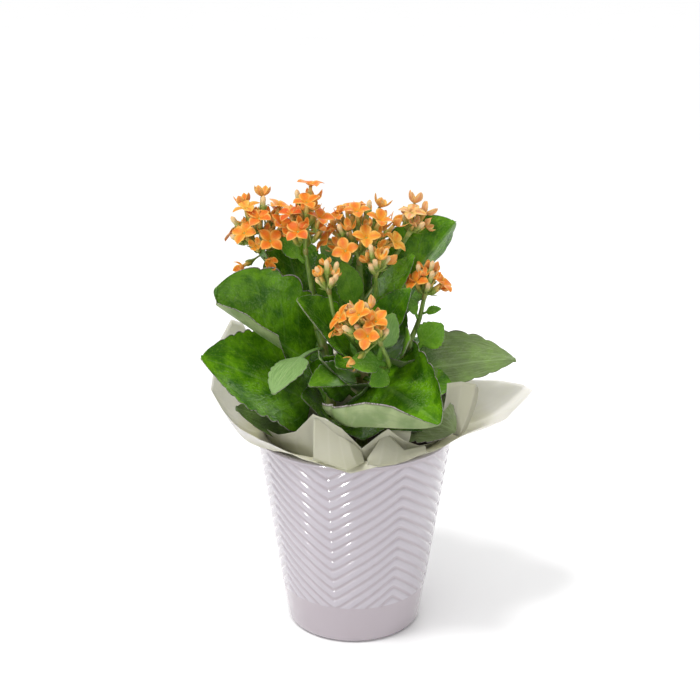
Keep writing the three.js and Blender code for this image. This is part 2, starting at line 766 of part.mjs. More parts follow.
const YOUNG_LEAVES = [
  {
    name: "leaf_young_left", on: "left", z: 178, width: 20, arch: 6, fold: 8, petiole: 0.6,
    tip: [-46, -58, 170], face: [-0.35, -0.8, 0.5],
  },
  {
    name: "leaf_young_middle", on: "middle", z: 204, width: 18, arch: 1, fold: 12,
    tip: [-8, -14, 237], face: [0.2, -0.95, 0.25],
  },
  {
    name: "leaf_young_shade", width: 20, arch: 1, fold: 8,
    from: [4.6, 22, 207], tip: [-20, 20, 244], face: [0.1, -0.9, 0.4],
  },
  {
    name: "leaf_young_grey", width: 17, arch: 1, fold: 8, petiole: 0.35,
    from: [14, -27, 178], tip: [23, -32, 210], face: [-0.3, -0.85, 0.4],
  },
  {
    name: "leaf_young_dark", on: "right", z: 180, width: 18, arch: 2, fold: 8, petiole: 0.5,
    tip: [32, -42, 198], face: [-0.2, -0.85, 0.5],
  },
  {
    name: "leaf_young_trough", on: "middle", z: 162, width: 22, arch: 3, fold: 20,
    tip: [-26, -47, 171], face: [0.2, -0.6, 0.8],
  },
  {
    name: "leaf_young_right", on: "right", z: 178, width: 20, arch: 1, fold: 10, petiole: 0.35,
    tip: [56, -12, 197], face: [0, -0.95, 0.3],
  },
  {
    name: "leaf_young_side", on: "left", z: 231, width: 9, arch: 1, fold: 10,
    tip: [-53, -12, 244], face: [-0.2, -0.7, 0.7],
  },
  {
    name: "bract_left", width: 11, arch: 1, fold: 10,
    from: [-30.3, -8, 236], tip: [-45, -10, 250], face: [0.3, -0.9, 0.4],
  },
  {
    name: "bract_front_left", width: 13, arch: 2, fold: 10,
    from: [16.7, -47.6, 184.7], tip: [-1, -60, 188], face: [0, -0.8, 0.6],
  },
  {
    name: "bract_front_right", width: 11, arch: 2, fold: 10,
    from: [19.2, -46.2, 179.9], tip: [12, -60, 174], face: [0.2, -0.9, 0.4],
  },
  {
    name: "bract_right_inner", width: 8, arch: 1, fold: 14,
    from: [38, -7, 201], tip: [31, -9, 214], face: [0.5, -0.8, 0.3],
  },
  {
    name: "bract_right_outer", width: 6, arch: 1, fold: 14,
    from: [42, -6.2, 203.2], tip: [52, -10, 207], face: [-0.1, -0.8, 0.6],
  },
];

/** Half width of a leaf along its blade, as a share of its fullest. */
function leafOutline(u, full, taper) {
  const skewed = Math.pow(Math.min(u, LEAF_TIP_AT), Math.log(0.5) / Math.log(full));
  return Math.pow(Math.sin(Math.PI * skewed), taper);
}

/** Where a leaf leaves the skin of its stem, on the side towards its tip. */
function leafFoot(leaf) {
  if (leaf.from) return vec(leaf.from);
  const [axis, radius] = stemAt(STEMS[leaf.on], leaf.z);
  const tip = vec(leaf.tip);
  const outward = tip.clone().sub(axis).setZ(0).normalize();
  const steepness = tip.sub(axis).normalize().z;
  const endReach = (PETIOLE_THICKNESS / 2) * Math.abs(steepness) + STEM_FLATS;
  return axis.addScaledVector(outward, radius + CLEARANCE + endReach);
}

/** A leaf: halves that run straight from a bowed midrib to notched margins and sink a little between. */
function leafBody(leaf) {
  const [rows, columns] = leaf.left || leaf.width > LARGE_WIDTH ? LARGE_GRID : SMALL_GRID;
  const breadth = leaf.width ?? USUAL_BREADTH;
  const petiole = leaf.petiole ?? PETIOLE_SHARE;
  const full = leaf.full ?? USUAL_FULL;
  const start = leafFoot(leaf);
  const tip = vec(leaf.tip);
  const span = tip.clone().sub(start);
  const margins = leaf.left && [vec(leaf.left), vec(leaf.right)];
  const across = margins ? margins[1].clone().sub(margins[0]) : span.clone().cross(vec(leaf.face));
  const face = across.clone().cross(span).normalize();
  const control = start.clone().lerp(tip, 0.5).addScaledVector(face, 2 * leaf.arch);
  const midrib = new THREE.QuadraticBezierCurve3(start, control, tip);
  const side = across.normalize();
  const fullest = midrib.getPoint(petiole + (1 - petiole) * full);
  const folded = (sign) =>
    side
      .clone()
      .multiplyScalar((sign * leaf.width * Math.cos(radians(leaf.fold))) / 2)
      .addScaledVector(face, (leaf.width * Math.sin(radians(leaf.fold))) / 2);
  const halves = margins ? margins.map((margin) => margin.sub(fullest)) : [folded(-1), folded(1)];
  const stalkHalf = Math.min(PETIOLE_WIDTH, breadth / 4) / 2;
  const stalkThick = Math.min(PETIOLE_THICKNESS, stalkHalf * 1.5);
  const bladeThick = Math.min(LEAF_THICKNESS, breadth / 9);
  const skin = (i, j, faceSide) => {
    const t = i / rows;
    const u = Math.max((t - petiole) / (1 - petiole), 0);
    const half = halves[2 * j < columns ? 0 : 1];
    const notch = u > NOTCHES_FROM && i % 2 ? 1 - NOTCH_DEPTH : 1;
    const reach = u > 0 ? leafOutline(u, full, leaf.taper ?? USUAL_TAPER) * notch : 0;
    const opened = Math.min(1, u / OPEN_AFTER);
    const v = Math.abs((2 * j) / columns - 1);
    const sign = 2 * j < columns ? -1 : 1;
    const sideways = side.clone().multiplyScalar(sign * half.length());
    const spread = Math.max(reach, stalkHalf / half.length()) * v;
    const stretch = sideways.lerp(half, opened).multiplyScalar(spread);
    const own = half.clone().cross(midrib.getTangent(t)).multiplyScalar(sign).normalize();
    const normal = face.clone().lerp(own, v === 0 ? 0 : opened).normalize();
    const sink = (leaf.sink ?? BLADE_SINK) * half.length() * reach * Math.sin(Math.PI * v) * opened;
    const thick = THREE.MathUtils.lerp(stalkThick, bladeThick, opened);
    return midrib.getPoint(t).add(stretch).addScaledVector(normal, (faceSide * thick) / 2 - sink);
  };
  return blade(rows, columns, skin);
}

// ---------------------------------------------------------------- flower heads
const PETALS = 4;
// One petal as [swing from its midline in degrees, share of its length], going round the flower.
const OPEN_PETAL = [
  [-45, 0.34],
  [-26, 0.82],
  [0, 1],
  [26, 0.82],
];
const HALF_OPEN_PETAL = [
  [-45, 0.4],
  [0, 1],
];

/** A stalked flower in one piece: petals, tube, calyx and stalk; lean: from its axis to its petals. */
function flower(stalkFoot, calyx, centre, facing, petal, lean, turn) {
  const [side, other] = squareTo(facing);
  const outline = Array.from({ length: PETALS }, (_, k) =>
    petal.map(([swing, reach]) => {
      const angle = turn + radians((360 * k) / PETALS + swing);
      const out = side.clone().multiplyScalar(Math.cos(angle)).addScaledVector(other, Math.sin(angle));
      const length = PETAL_LENGTH * reach;
      return centre
        .clone()
        .addScaledVector(out, length * Math.sin(lean))
        .addScaledVector(facing, length * Math.cos(lean));
    }),
  ).flat();
  const count = outline.length;
  const throat = centre.clone().addScaledVector(facing, -THROAT_DEPTH);
  const rings = [
    ringRound(throat, facing, TUBE_TOP_RADIUS, PETALS, turn),
    ringRound(calyx, facing, CALYX_RADIUS, PETALS, turn),
    ringRound(stalkFoot, facing, PEDICEL_RADIUS, PETALS, turn),
  ];
  const half = facing.clone().multiplyScalar(PETAL_THICKNESS / 2);
  const points = [
    ...outline.map((p) => p.clone().add(half)),
    ...outline.map((p) => p.clone().sub(half)),
    ...rings.flat(),
    centre.clone().add(half),
    stalkFoot,
  ];
  const triangles = [];
  const perPetal = petal.length;
  const tip = perPetal / 2;
  const ringAt = 2 * count;
  for (let j = 0; j < count; j++) {
    const next = (j + 1) % count;
    triangles.push([points.length - 2, j, next], [j, count + j, count + next], [j, count + next, next]);
    const own = ringAt + (Math.floor(j / perPetal) % PETALS);
    const following = ringAt + ((Math.floor(j / perPetal) + 1) % PETALS);
    triangles.push([j % perPetal < tip ? own : following, count + next, count + j]);
    if (j % perPetal === tip) triangles.push([own, following, count + j]);
  }
  for (let ring = ringAt; ring < ringAt + 2 * PETALS; ring += PETALS) {
    for (let k = 0; k < PETALS; k++) {
      const next = (k + 1) % PETALS;
      const [a, b] = [ring + PETALS + k, ring + PETALS + next];
      triangles.push([ring + k, b, ring + next], [ring + k, a, b]);
    }
  }
  const foot = ringAt + 2 * PETALS;
  for (let k = 0; k < PETALS; k++) triangles.push([points.length - 1, foot + ((k + 1) % PETALS), foot + k]);
  return meshOf(points, triangles);
}

/** A stalked bud in one piece, pointed at its tip. */
function bud(stalkFoot, foot, facing) {
  const along = (length) => foot.clone().addScaledVector(facing, length);
  return lofted([
    ringRound(stalkFoot, facing, PEDICEL_RADIUS, THIN_SIDES),
    ...BUD_PROFILE.map(([reach, radius]) => ringRound(along(BUD_LENGTH * reach), facing, radius, THIN_SIDES)),
  ]);
}

/** A head: branches from a hub on its stalk, and on each branch stalked flowers and buds that fill a dome. */
function flowerHead(head, curve) {
  const [width, depth, height] = head.size;
  const rising = curve.getTangent(1);
  const hub = curve.getPoint(1).addScaledVector(rising, CLEARANCE + HUB_LENGTH / 2);
  const total = head.open + head.half + head.buds;
  const dome = (tilt, angle, reach) =>
    new THREE.Vector3(
      (width * Math.sin(tilt) * Math.cos(angle) + head.lean[0]) * reach,
      (depth * Math.sin(tilt) * Math.sin(angle) - head.lean[1]) * reach,
      height * Math.cos(tilt) * reach,
    ).add(hub);
  const end = (side) => hub.clone().addScaledVector(rising, (side * HUB_LENGTH) / 2);
  const pieces = [rod(end(-1), end(1), HUB_RADIUS, HUB_RADIUS, HUB_SIDES)];
  const branches = total < FORKED_FROM ? 0 : Math.round(total / FLOWERS_PER_FORK);
  const forks = Array.from({ length: branches }, (_, k) => {
    const fork = dome(FORK_TILT, 2 * Math.PI * (head.draw + k / branches), FORK_REACH);
    const node = new THREE.OctahedronGeometry(FORK_RADIUS);
    node.translate(...fork);
    pieces.push(rod(hub, fork, BRANCH_RADIUS, BRANCH_RADIUS, THIN_SIDES), node);
    return fork;
  });
  const nearestFork = (point) =>
    forks.reduce((best, f) => (f.distanceTo(point) < best.distanceTo(point) ? f : best), forks[0] ?? hub);
  for (let k = 0; k < total; k++) {
    const draw = share(k * GOLDEN_SHARE + head.draw);
    const isBud = share(k * BUD_SPREAD * GOLDEN_SHARE + head.draw * BUD_DRAW) < head.buds / total;
    const tilt = LOWEST_TILT * Math.sqrt((k + 0.5) / total);
    const reach = isBud ? BUD_REACH : 1 - FLOWER_SCATTER * draw;
    const centre = dome(tilt, head.draw * START_DRAW + k * GOLDEN_ANGLE, reach);
    const facing = centre.clone().sub(hub).normalize().addScaledVector(UP, FACE_UP).normalize();
    const tube = Math.min(FLOWER_TUBE, TUBE_SHARE * centre.distanceTo(hub));
    const calyx = centre.clone().addScaledVector(facing, isBud ? -BUD_LENGTH / 2 : -tube);
    const fork = nearestFork(calyx);
    const outward = calyx.clone().sub(fork).normalize();
    const sprout = fork.clone().addScaledVector(outward, FORK_RADIUS * SPROUT_DEPTH);
    if (isBud) {
      pieces.push(bud(sprout, calyx, facing));
      continue;
    }
    const isHalfOpen = draw < head.half / (head.half + head.open);
    const lean = radians(isHalfOpen ? HALF_OPEN_LEAN : OPEN_LEAN + LEAN_SPREAD * draw);
    const petal = isHalfOpen ? HALF_OPEN_PETAL : OPEN_PETAL;
    pieces.push(flower(sprout, calyx, centre, facing, petal, lean, draw * TURN_SPREAD));
  }
  return fuse(pieces);
}

// ---------------------------------------------------------------- the whole plant in its pot
const plant = new THREE.Group();

function place(name, geometry, material) {
  const mesh = new THREE.Mesh(geometry, material);
  mesh.name = name;
  plant.add(mesh);
}

place("cover_pot", coverPot(), GLAZE);
place("paper_wrap_outer", paperWrap(OUTER_WRAP, OUTER_INSET, OUTER_LIFT), PAPER);
place("paper_wrap_inner", paperWrap(INNER_WRAP, INNER_INSET, INNER_LIFT), PAPER);
place("nursery_pot", nurseryPot(), NURSERY_PLASTIC);
place("soil", soil(Object.values(STEMS)), SOIL);
for (const [name, stem] of Object.entries(STEMS)) place(`stem_${name}`, stemBody(stem), STEM);
for (const leaf of [...BROAD_LEAVES, ...LEAVES]) place(leaf.name, leafBody(leaf), LEAF);
for (const leaf of YOUNG_LEAVES) place(leaf.name, leafBody(leaf), YOUNG_LEAF);
for (const stem of Object.values(STEMS)) {
  for (const { head, curve } of [stem, ...stem.stalks]) {
    place(`flower_head_${head.name}`, flowerHead(head, curve), FLOWER);
  }
}

export default plant;
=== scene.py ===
"""A kalanchoe in flower: finer leaves, flowers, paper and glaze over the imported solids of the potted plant.

Sizes and places in the tables are millimetres in the row frame: +Z up, -Y the front, the pot's axis on Z.
"""

import math

import bpy
import numpy as np
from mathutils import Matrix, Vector


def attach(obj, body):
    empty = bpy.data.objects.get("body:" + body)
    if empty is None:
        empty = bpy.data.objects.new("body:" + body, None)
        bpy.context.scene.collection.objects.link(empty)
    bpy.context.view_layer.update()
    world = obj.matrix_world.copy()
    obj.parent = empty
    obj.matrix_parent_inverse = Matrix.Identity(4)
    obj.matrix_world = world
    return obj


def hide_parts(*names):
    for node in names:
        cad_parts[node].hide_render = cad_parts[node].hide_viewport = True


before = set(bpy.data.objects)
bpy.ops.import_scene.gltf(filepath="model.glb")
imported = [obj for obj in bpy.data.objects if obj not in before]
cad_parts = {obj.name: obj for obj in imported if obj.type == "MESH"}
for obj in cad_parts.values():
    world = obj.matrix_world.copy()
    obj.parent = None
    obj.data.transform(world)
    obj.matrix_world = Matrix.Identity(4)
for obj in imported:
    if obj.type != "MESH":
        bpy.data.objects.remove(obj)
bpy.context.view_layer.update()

MM = 0.001
TURN = 2 * math.pi
UP = np.array([0.0, 0.0, 1.0])
GOLDEN_ANGLE = math.pi * (3 - math.sqrt(5))
GOLDEN_SHARE = (math.sqrt(5) - 1) / 2
CLEARANCE = 0.3
TINY = 1e-6

# -------------------------------- the pot and what lies in it
POT_TOP_RADIUS = 61
POT_BASE_RADIUS = 42.5
POT_HEIGHT = 126
POT_WALL = 4
POT_FLOOR = 5
FOOT_ROUNDING = 4
RIM_ROUNDING = 1.2
RIM_SQUARENESS = 0.7  # 1 would make the rim's section an ellipse
RIB_BOTTOM = 26
RIB_TOP = 124
RIB_FADE = 2.5
RIB_PITCH = 7.1
RIB_RISE = 29
RIB_OUT = 0.28
RIB_IN = 0.47
RIB_SHOULDER = (0.16, 0.5)  # where a rib rises, from 0 in the middle of a groove to 1 on its crest
SHOULDER_SHARPNESS = 16
ZIGZAGS = 4
VALLEY_AT = -105
CORNER_ROUNDING = 0.025
BAND_PAINTED_SHADE = 0.15  # painted shade on the smooth band by the foot: 0 gives it a groove's darker tone, 1 a crest's tone
POT_COLUMNS = 384
FOOT_ROWS = 7
BAND_ROWS = 8
WALL_ROWS = 225
RIM_ROWS = 11

WRAP_THICKNESS = 0.7
PAPER_THICKNESS = 0.26
PAPER_SHADE_TURNS_LIT = (0.127, 0.139)  # heights, in metres, between which a wrap turns from painted shade by the mouth to painted light up in the lobes
WRAP_PLAY = 0.1
MOUTH_INSET = 0.8
CUP_TOP = 124
OUTER_LIFT = 1.6
INNER_LIFT = 3.4
OUTER_INSET = CLEARANCE + WRAP_THICKNESS / 2 + WRAP_PLAY
INNER_INSET = OUTER_INSET + CLEARANCE + WRAP_THICKNESS
PAPER_STEPS = 8
PAPER_ROWS = 26
FLAP_ROWS = 12
CREASE_WIDTH = 0.09  # as a share of the way from crease to crease
PAPER_BELLY = 0.9
PAPER_PLEAT = (0.05, 0.3)
PAPER_DIP = -0.4  # how far up the paper bellies for each 1 outward
PAPER_RIPPLE = 16
PAPER_RIPPLE_HEIGHT = 0.8
FLAP_BELLY = 1.2
FLAP_RIPPLE = 12
FLAP_RIPPLE_HEIGHT = 0.5

NURSERY_LIP_RADIUS = 51.2
NURSERY_TOP = 114
LIP_INSET = 0.55  # how far the middle of the rolled lip lies in from the lip's radius
LIP_DROP = 2.6  # and how far under its top
LIP_HALF_WIDTH = 0.8
LIP_HALF_HEIGHT = 2.9
LIP_SQUARENESS = 0.6
LIP_SIDES = 24
LIP_COLUMNS = 128
SOIL_TOP = 106
SOIL_CROWN = 3
SOIL_RADIUS = 48
SOIL_ROWS = 34
SOIL_COLUMNS = 96
SOIL_RIPPLES = [(4, 5, 0.9), (1.6, 6, 0.4)]  # size, seed and height of the clods and crumbs
STEM_END = SOIL_TOP + SOIL_CROWN - 24

# Each wrap's outer edge, a row for each crease, evenly round the mouth: azimuth, radius, height, sag between.
OUTER_WRAP = [
    (-104, 65, 127.5, -1.5), (-92, 65.5, 124, -4), (-81, 65.5, 127, -1.5), (-71, 65, 129, -1),
    (-60, 65, 129.5, -1), (-49, 65.5, 130, -1), (-37, 67, 131, 0), (-24, 76, 136, 1),
    (-12, 95, 141, 3), (3, 112, 150, 5), (11, 110, 148.5, 3), (20, 100, 147, 2),
    (30, 82, 145, 2), (42, 74, 144, 2), (54, 73, 145, 2), (64, 75, 149, 3),
    (76, 82, 157, 5), (89, 89, 162, 5), (98, 85, 158, 4), (108, 78, 151, 4),
    (121, 72, 146, 2), (131, 72, 146, 2), (144, 75, 158, 3), (155, 78, 186, 4),
    (164, 79, 192, 5), (174, 85, 181, 7), (186, 88, 156, 9), (197, 83, 147, 8),
    (208, 78, 142, 6), (221, 73, 138, 3), (232, 68, 134, 1), (243, 66, 130.5, -1),
]
INNER_WRAP = [
    (-106, 60, 155, 0), (-97, 61, 150, 0), (-86, 60, 137, 0), (-71, 60.5, 148, 0),
    (-62, 61, 140, 0), (-50, 60, 133, 0), (-38, 60, 131.5, 0), (-26, 61, 132, 0),
    (-14, 62, 140, 1), (-1, 64, 147, 1), (10, 68, 158, 2), (20, 72, 160, 2),
    (29, 68, 160, 2), (39, 64, 154, 1), (52, 61, 148, 1), (64, 61, 149, 1),
    (76, 64, 158, 1), (88, 66, 167, 2), (99, 63, 159, 1), (110, 61, 150, 1),
    (120, 60, 146, 1), (131, 61, 150, 1), (144, 64, 158, 2), (156, 67, 165, 2),
    (166, 68, 163, 2), (177, 67, 155, 2), (188, 65, 148, 2), (200, 64, 142, 1),
    (211, 63, 140, 1), (224, 62, 139.5, 0), (236, 61, 144, 0), (247, 60.5, 157, 0),
]

# Loose flaps of the inner wrap: for each fold its foot and its cut edge.
INNER_FLAPS = [
    [((-23.7, -63, 131.5), (-23.1, -57, 154.5)), ((-13.9, -66.5, 130), (-15.1, -55, 153.4)),
     ((-4.2, -69.5, 127), (-9.4, -57, 147)), ((1.5, -68, 129.8), (-3.6, -60, 142)),
     ((6.2, -62, 129.6), (3.9, -55, 136.3))],
    [((6.7, -62, 127.6), (7.3, -61, 131.5)), ((13.6, -63.5, 127.4), (17.8, -54, 145.8)),
     ((23.5, -62, 128.2), (24.7, -57, 139.6)), ((31.1, -59, 129.4), (28.7, -58, 135.6)),
     ((41.9, -52, 132), (41.2, -51, 135.4))],
    [((24.4, -52, 130.1), (21.4, -50, 144.9)), ((29.2, -50, 129.2), (33.2, -46, 142.7))],
    [((50, -28, 133), (55.4, -18, 162.8)), ((58, -27, 134), (64.6, -13, 162.1)),
     ((63, -30, 132.7), (74.2, -12, 160.2)), ((68, -25, 136), (76.5, -8, 156))],
]

# -------------------------------- stems and flower heads
HUB_LENGTH = 3
FORK_RADIUS = 1.7
FORK_TILT = 0.75
FORK_REACH = 0.42  # share of a head's dome at which its branches fork
FORKED_FROM = 8  # a head of fewer flowers has no branches
FLOWERS_PER_FORK = 5
SPROUT_DEPTH = 0.35
BUD_REACH = 0.86
FLOWER_SCATTER = 0.14
LOWEST_TILT = 1.3  # radians from upright of the lowest flowers of a dome
FACE_UP = 0.1  # how much the flowers turn up from straight outward
OPEN_LEAN = 70  # degrees by which petals lean out from the axis of their flower
LEAN_SPREAD = 12
HALF_OPEN_LEAN = 36
FLOWER_TUBE = 9
TUBE_SHARE = 0.62
BUD_LENGTH = 9.5
BUD_RADIUS = 1.75
# How fast a head's draw turns its first flower, picks its buds and turns each flower on its stalk.
START_DRAW = 20
BUD_DRAW = 7
BUD_SPREAD = 3
TURN_SPREAD = 6.28
STALK_SWELL = 1.3
STEM_ROWS = 110
STALK_ROWS = 44
JOINT_SWELL = 0.16  # how much a stem widens where a leaf leaves it
JOINT_SPREAD = 2.2
STEM_TURNS_GREEN = (105, 150)


def head(name, size, lean, opened, half, buds, draw, tint=(0.1, 0.85), low=()):
    """A head: half width, half depth and height of its dome, lean right and forward, open and half-open
    flowers, buds, its draw, its range of colour, from cream at 0 by orange to red at 1, and where flowers
    hang below the dome, seen from its hub."""
    flowers = dict(open=opened, half=half, buds=buds, total=opened + half + buds, low=low)
    return dict(name=name, size=size, lean=lean, draw=draw, tint=tint, **flowers)


STEMS = {
    "left": dict(
        foot=3.6, tip=1.7,
        points=[(-13, 4, STEM_END), (-13, 4, 116), (-15, 5, 150), (-21, 6, 185), (-36, 5, 212),
                (-54, 2, 236)],
        head=head("left", (21, 18, 38), (-1, 1), 10, 3, 2, 0.58, (0.15, 0.75),
                  low=[(-11, -9, -5), (5, -13, -1)]),
        stalks=[
            dict(radius=1.4, points=[(-23, 6, 190), (-25, -1, 214), (-28.5, -8, 240)],
                 head=head("left_middle", (12, 15, 43), (0, 3), 6, 2, 1, 0.32, (0.25, 1))),
        ],
    ),
    "middle": dict(
        foot=4, tip=2,
        points=[(5, 6, STEM_END), (5, 6, 116), (5, 4, 150), (5, 1, 190), (3, -2, 232)],
        head=head("middle", (25, 20, 40), (1, 2), 10, 4, 2, 0.3),
        stalks=[
            dict(radius=1.1, points=[(5, 2, 176), (-2, -17, 190), (-11, -29, 206), (-14.5, -30, 222)],
                 head=head("bud_left", (8, 8, 18), (0, 0), 0, 2, 3, 0.22)),
            dict(radius=1.1, points=[(4, 0, 208), (12, -12, 214), (12.5, -25, 231)],
                 head=head("bud_right", (9, 8, 17), (0, 0), 0, 2, 3, 0.5)),
            dict(radius=1.2, points=[(5, 2, 172), (13, -26, 175), (20, -45, 183), (15, -50, 197)],
                 head=head("front", (17, 13, 25), (-13, 6), 6, 3, 3, 0.31, (0, 0.6), low=[(-14, -6, -9)])),
            dict(radius=1.4, points=[(5, 1, 188), (8, 22, 208), (2, 33, 228)],
                 head=head("back", (24, 14, 32), (0, -4), 5, 1, 1, 0.19, (0.05, 0.5))),
            dict(radius=1.3, points=[(4, 0, 206), (18, 1, 226), (32, 6, 248)],
                 head=head("right_rear", (8, 9, 19), (4, -1), 2, 2, 1, 0.09, (0, 0.15))),
        ],
    ),
    "right": dict(
        foot=3.2, tip=1.3,
        points=[(17, -7, STEM_END), (17, -7, 116), (21, -7, 148), (31, -6, 178), (39, -5, 198),
                (42, -5, 212)],
        head=head("right", (10, 9, 21), (1, 1), 3, 1, 3, 0.33, (0.35, 1)),
        stalks=[],
    ),
}

# -------------------------------- leaves
LEAF_THICKNESS = 1.3
PETIOLE_WIDTH = 3.4
PETIOLE_THICKNESS = 2.4
STEM_FLATS = 0.5
PETIOLE_SHARE = 0.16
USUAL_FULL = 0.45
USUAL_TAPER = 0.66
USUAL_BREADTH = 40
OPEN_AFTER = 0.25
BLADE_SINK = 0.06
LEAF_TIP_AT = 0.997
UPTURN_ARC = math.radians(115)  # the angle that an upturned margin turns through
UPTURN_SPREAD = 1.9  # how far apart its points lie, against those of a flat margin
LEAST_KEPT = 0.3  # the least share of a half that stays flat
PETIOLE_ROOT = 2.2  # how far a petiole runs on into its stem
BLUNT_FROM = 0.2  # a blunt tip is pushed on where the blade is still this share of its width
BLUNT_ARC = math.pi * 0.66  # and most at a share of the half width, where this arc's sine is 1
TROUGH_POWER = 1.3  # how softly the halves of a blade rise from the midrib
UPTURN_ONWARD = 2.4  # over 1, a margin turns up more towards the tip than towards the foot
UPTURN_FULLNESS = 0.8
USUAL_TEETH = 7
NOTCHES_FROM = 0.22
NOTCH_DEPTH = 0.1  # as a share of the half width
NOTCH_DEPTH_SPREAD = 0.03
NOTCH_WANDER = 0.12  # from even spacing, as a share of a tooth
TOOTH_ROUNDING = 0.7
WAVES = 1.6
WAVE_SHIFT = 1.1  # by which the two margins wave apart
WAVE_HEIGHT = 0.035  # as a share of the half width
QUILT_SIZE = 9
QUILT_HEIGHT = 0.22
VEIN_HALF_WIDTH = 1.1
VEIN_DEPTHS = (0.35, 0.75)  # on the upper face and under it
LENS_POWERS = (2, 7)  # of a section: round at the petiole, blunt-edged in the blade
MARGIN_THICKNESS = 0.75  # as a share of the thickness at the midrib
LARGE_WIDTH = 36
LARGE_GRID = (110, 24)  # rows along a leaf and columns across it
SMALL_GRID = (64, 12)

# The stem and height, or the point, that a leaf grows from; its tip; where its blade is fullest; its taper
# and the bow of its midrib. A broad leaf gives both margins where it is fullest; the others a width and a
# fold in degrees, and the way that their upper face looks. sink is how far the halves hang between midrib
# and margin, blunt how far the tip is pushed on, upturn how much of the left and right margin turns up, and
# pale how washed out a leaf looks.
BROAD_LEAVES = [
    dict(name="leaf_left_upper", on="left", z=163, tip=(-79, -28, 214), left=(-51, -34, 203),
         right=(-34, -8, 226.5), full=(0.38, 0.5), taper=(0.8, 0.31), arch=2, sink=0.03, teeth=5, blunt=7),
    dict(name="leaf_left_lower", on="left", z=137, tip=(-89, -38, 185), left=(-47, -56, 151),
         right=(-49, -4, 191), full=0.36, taper=0.75, arch=4, teeth=11),
    dict(name="leaf_front_right", on="middle", z=160, tip=(48, -71, 156.5), left=(34, -21, 192),
         right=(-17, -50, 158), full=(0.22, 0.3), taper=(0.5, 0.58), arch=6, sink=0.2, teeth=6,
         upturn=(0, 16)),
    dict(name="leaf_right_upper", on="middle", z=194, tip=(61, 18, 254), left=(22, 14, 249),
         right=(52, 24, 230), full=0.42, taper=0.7, arch=2, teeth=5),
    dict(name="leaf_right", on="right", z=164, tip=(101, 12, 168), left=(58, 26, 184),
         right=(64, -8, 159), full=0.34, taper=0.75, arch=3, teeth=6, pale=0.6),
]


def leaf(name, place, tip, width, face, arch, fold, petiole=PETIOLE_SHARE, pale=0.0):
    """A leaf by its width. place is (stem, height) or the point that it grows from."""
    grows = dict(on=place[0], z=place[1]) if isinstance(place[0], str) else {"from": place}
    look = dict(petiole=petiole, pale=pale)
    return dict(name=name, tip=tip, width=width, face=face, arch=arch, fold=fold, **look, **grows)


LEAVES = [
    leaf("leaf_right_under", ("right", 152), (60, -12, 159), 34, (0, -0.45, 0.9), 4, 12),
    leaf("leaf_right_low", ("right", 143), (60, -37, 139), 42, (0.15, -0.7, 0.7), 2, 6, pale=0.8),
    leaf("leaf_left_back", ("left", 196), (-45, 28, 247), 40, (0.2, -0.95, 0.25), 2, 12),
    leaf("leaf_back_left_low", ("left", 142), (-60, 60, 170), 54, (-0.3, 0.35, 0.9), 7, 14),
    leaf("leaf_back_right_low", ("middle", 144), (66, 54, 168), 54, (0.3, 0.35, 0.9), 7, 14),
    leaf("leaf_back_middle", ("middle", 156), (2, 84, 184), 54, (0, 0.3, 0.95), 7, 14),
    leaf("leaf_back_left_upper", ("left", 170), (-60, 50, 214), 44, (-0.1, 0.1, 0.98), 5, 14),
    leaf("leaf_back_right_upper", ("middle", 178), (46, 54, 214), 42, (0.1, 0.1, 0.98), 5, 14),
    leaf("leaf_inner_left", ("middle", 170), (-33, -34, 219), 34, (0.3, -0.6, 0.72), 2, 22),
    leaf("leaf_left_shade", ("middle", 186), (-21, 10, 236), 26, (0.1, -0.95, 0.3), 1, 12),
    leaf("leaf_middle_dark", ("middle", 178), (33, -25, 223), 24, (-0.35, -0.8, 0.5), 2, 14),
    leaf("leaf_middle_rear", (8, -3.2, 198), (35.5, -4, 238.5), 18, (-0.3, -0.8, 0.55), 2, 12),
    leaf("leaf_right_tall", ("middle", 160), (31, 3, 203), 22, (-0.2, -0.95, 0.2), 1, 12),
    leaf("leaf_low_front", ("middle", 128), (5, -50, 139), 40, (0, -0.3, 0.95), 4, 10),
    leaf("leaf_low_middle", ("left", 126), (-17, -44, 136), 26, (0, -0.3, 0.95), 4, 10),
    leaf("leaf_left_inner", ("middle", 147), (-27, -14, 173), 30, (0.3, -0.7, 0.6), 2, 14),
    leaf("leaf_low_left", ("left", 122), (-69, -44, 156), 26, (-0.3, -0.75, 0.6), 0, 8, pale=0.5),
]
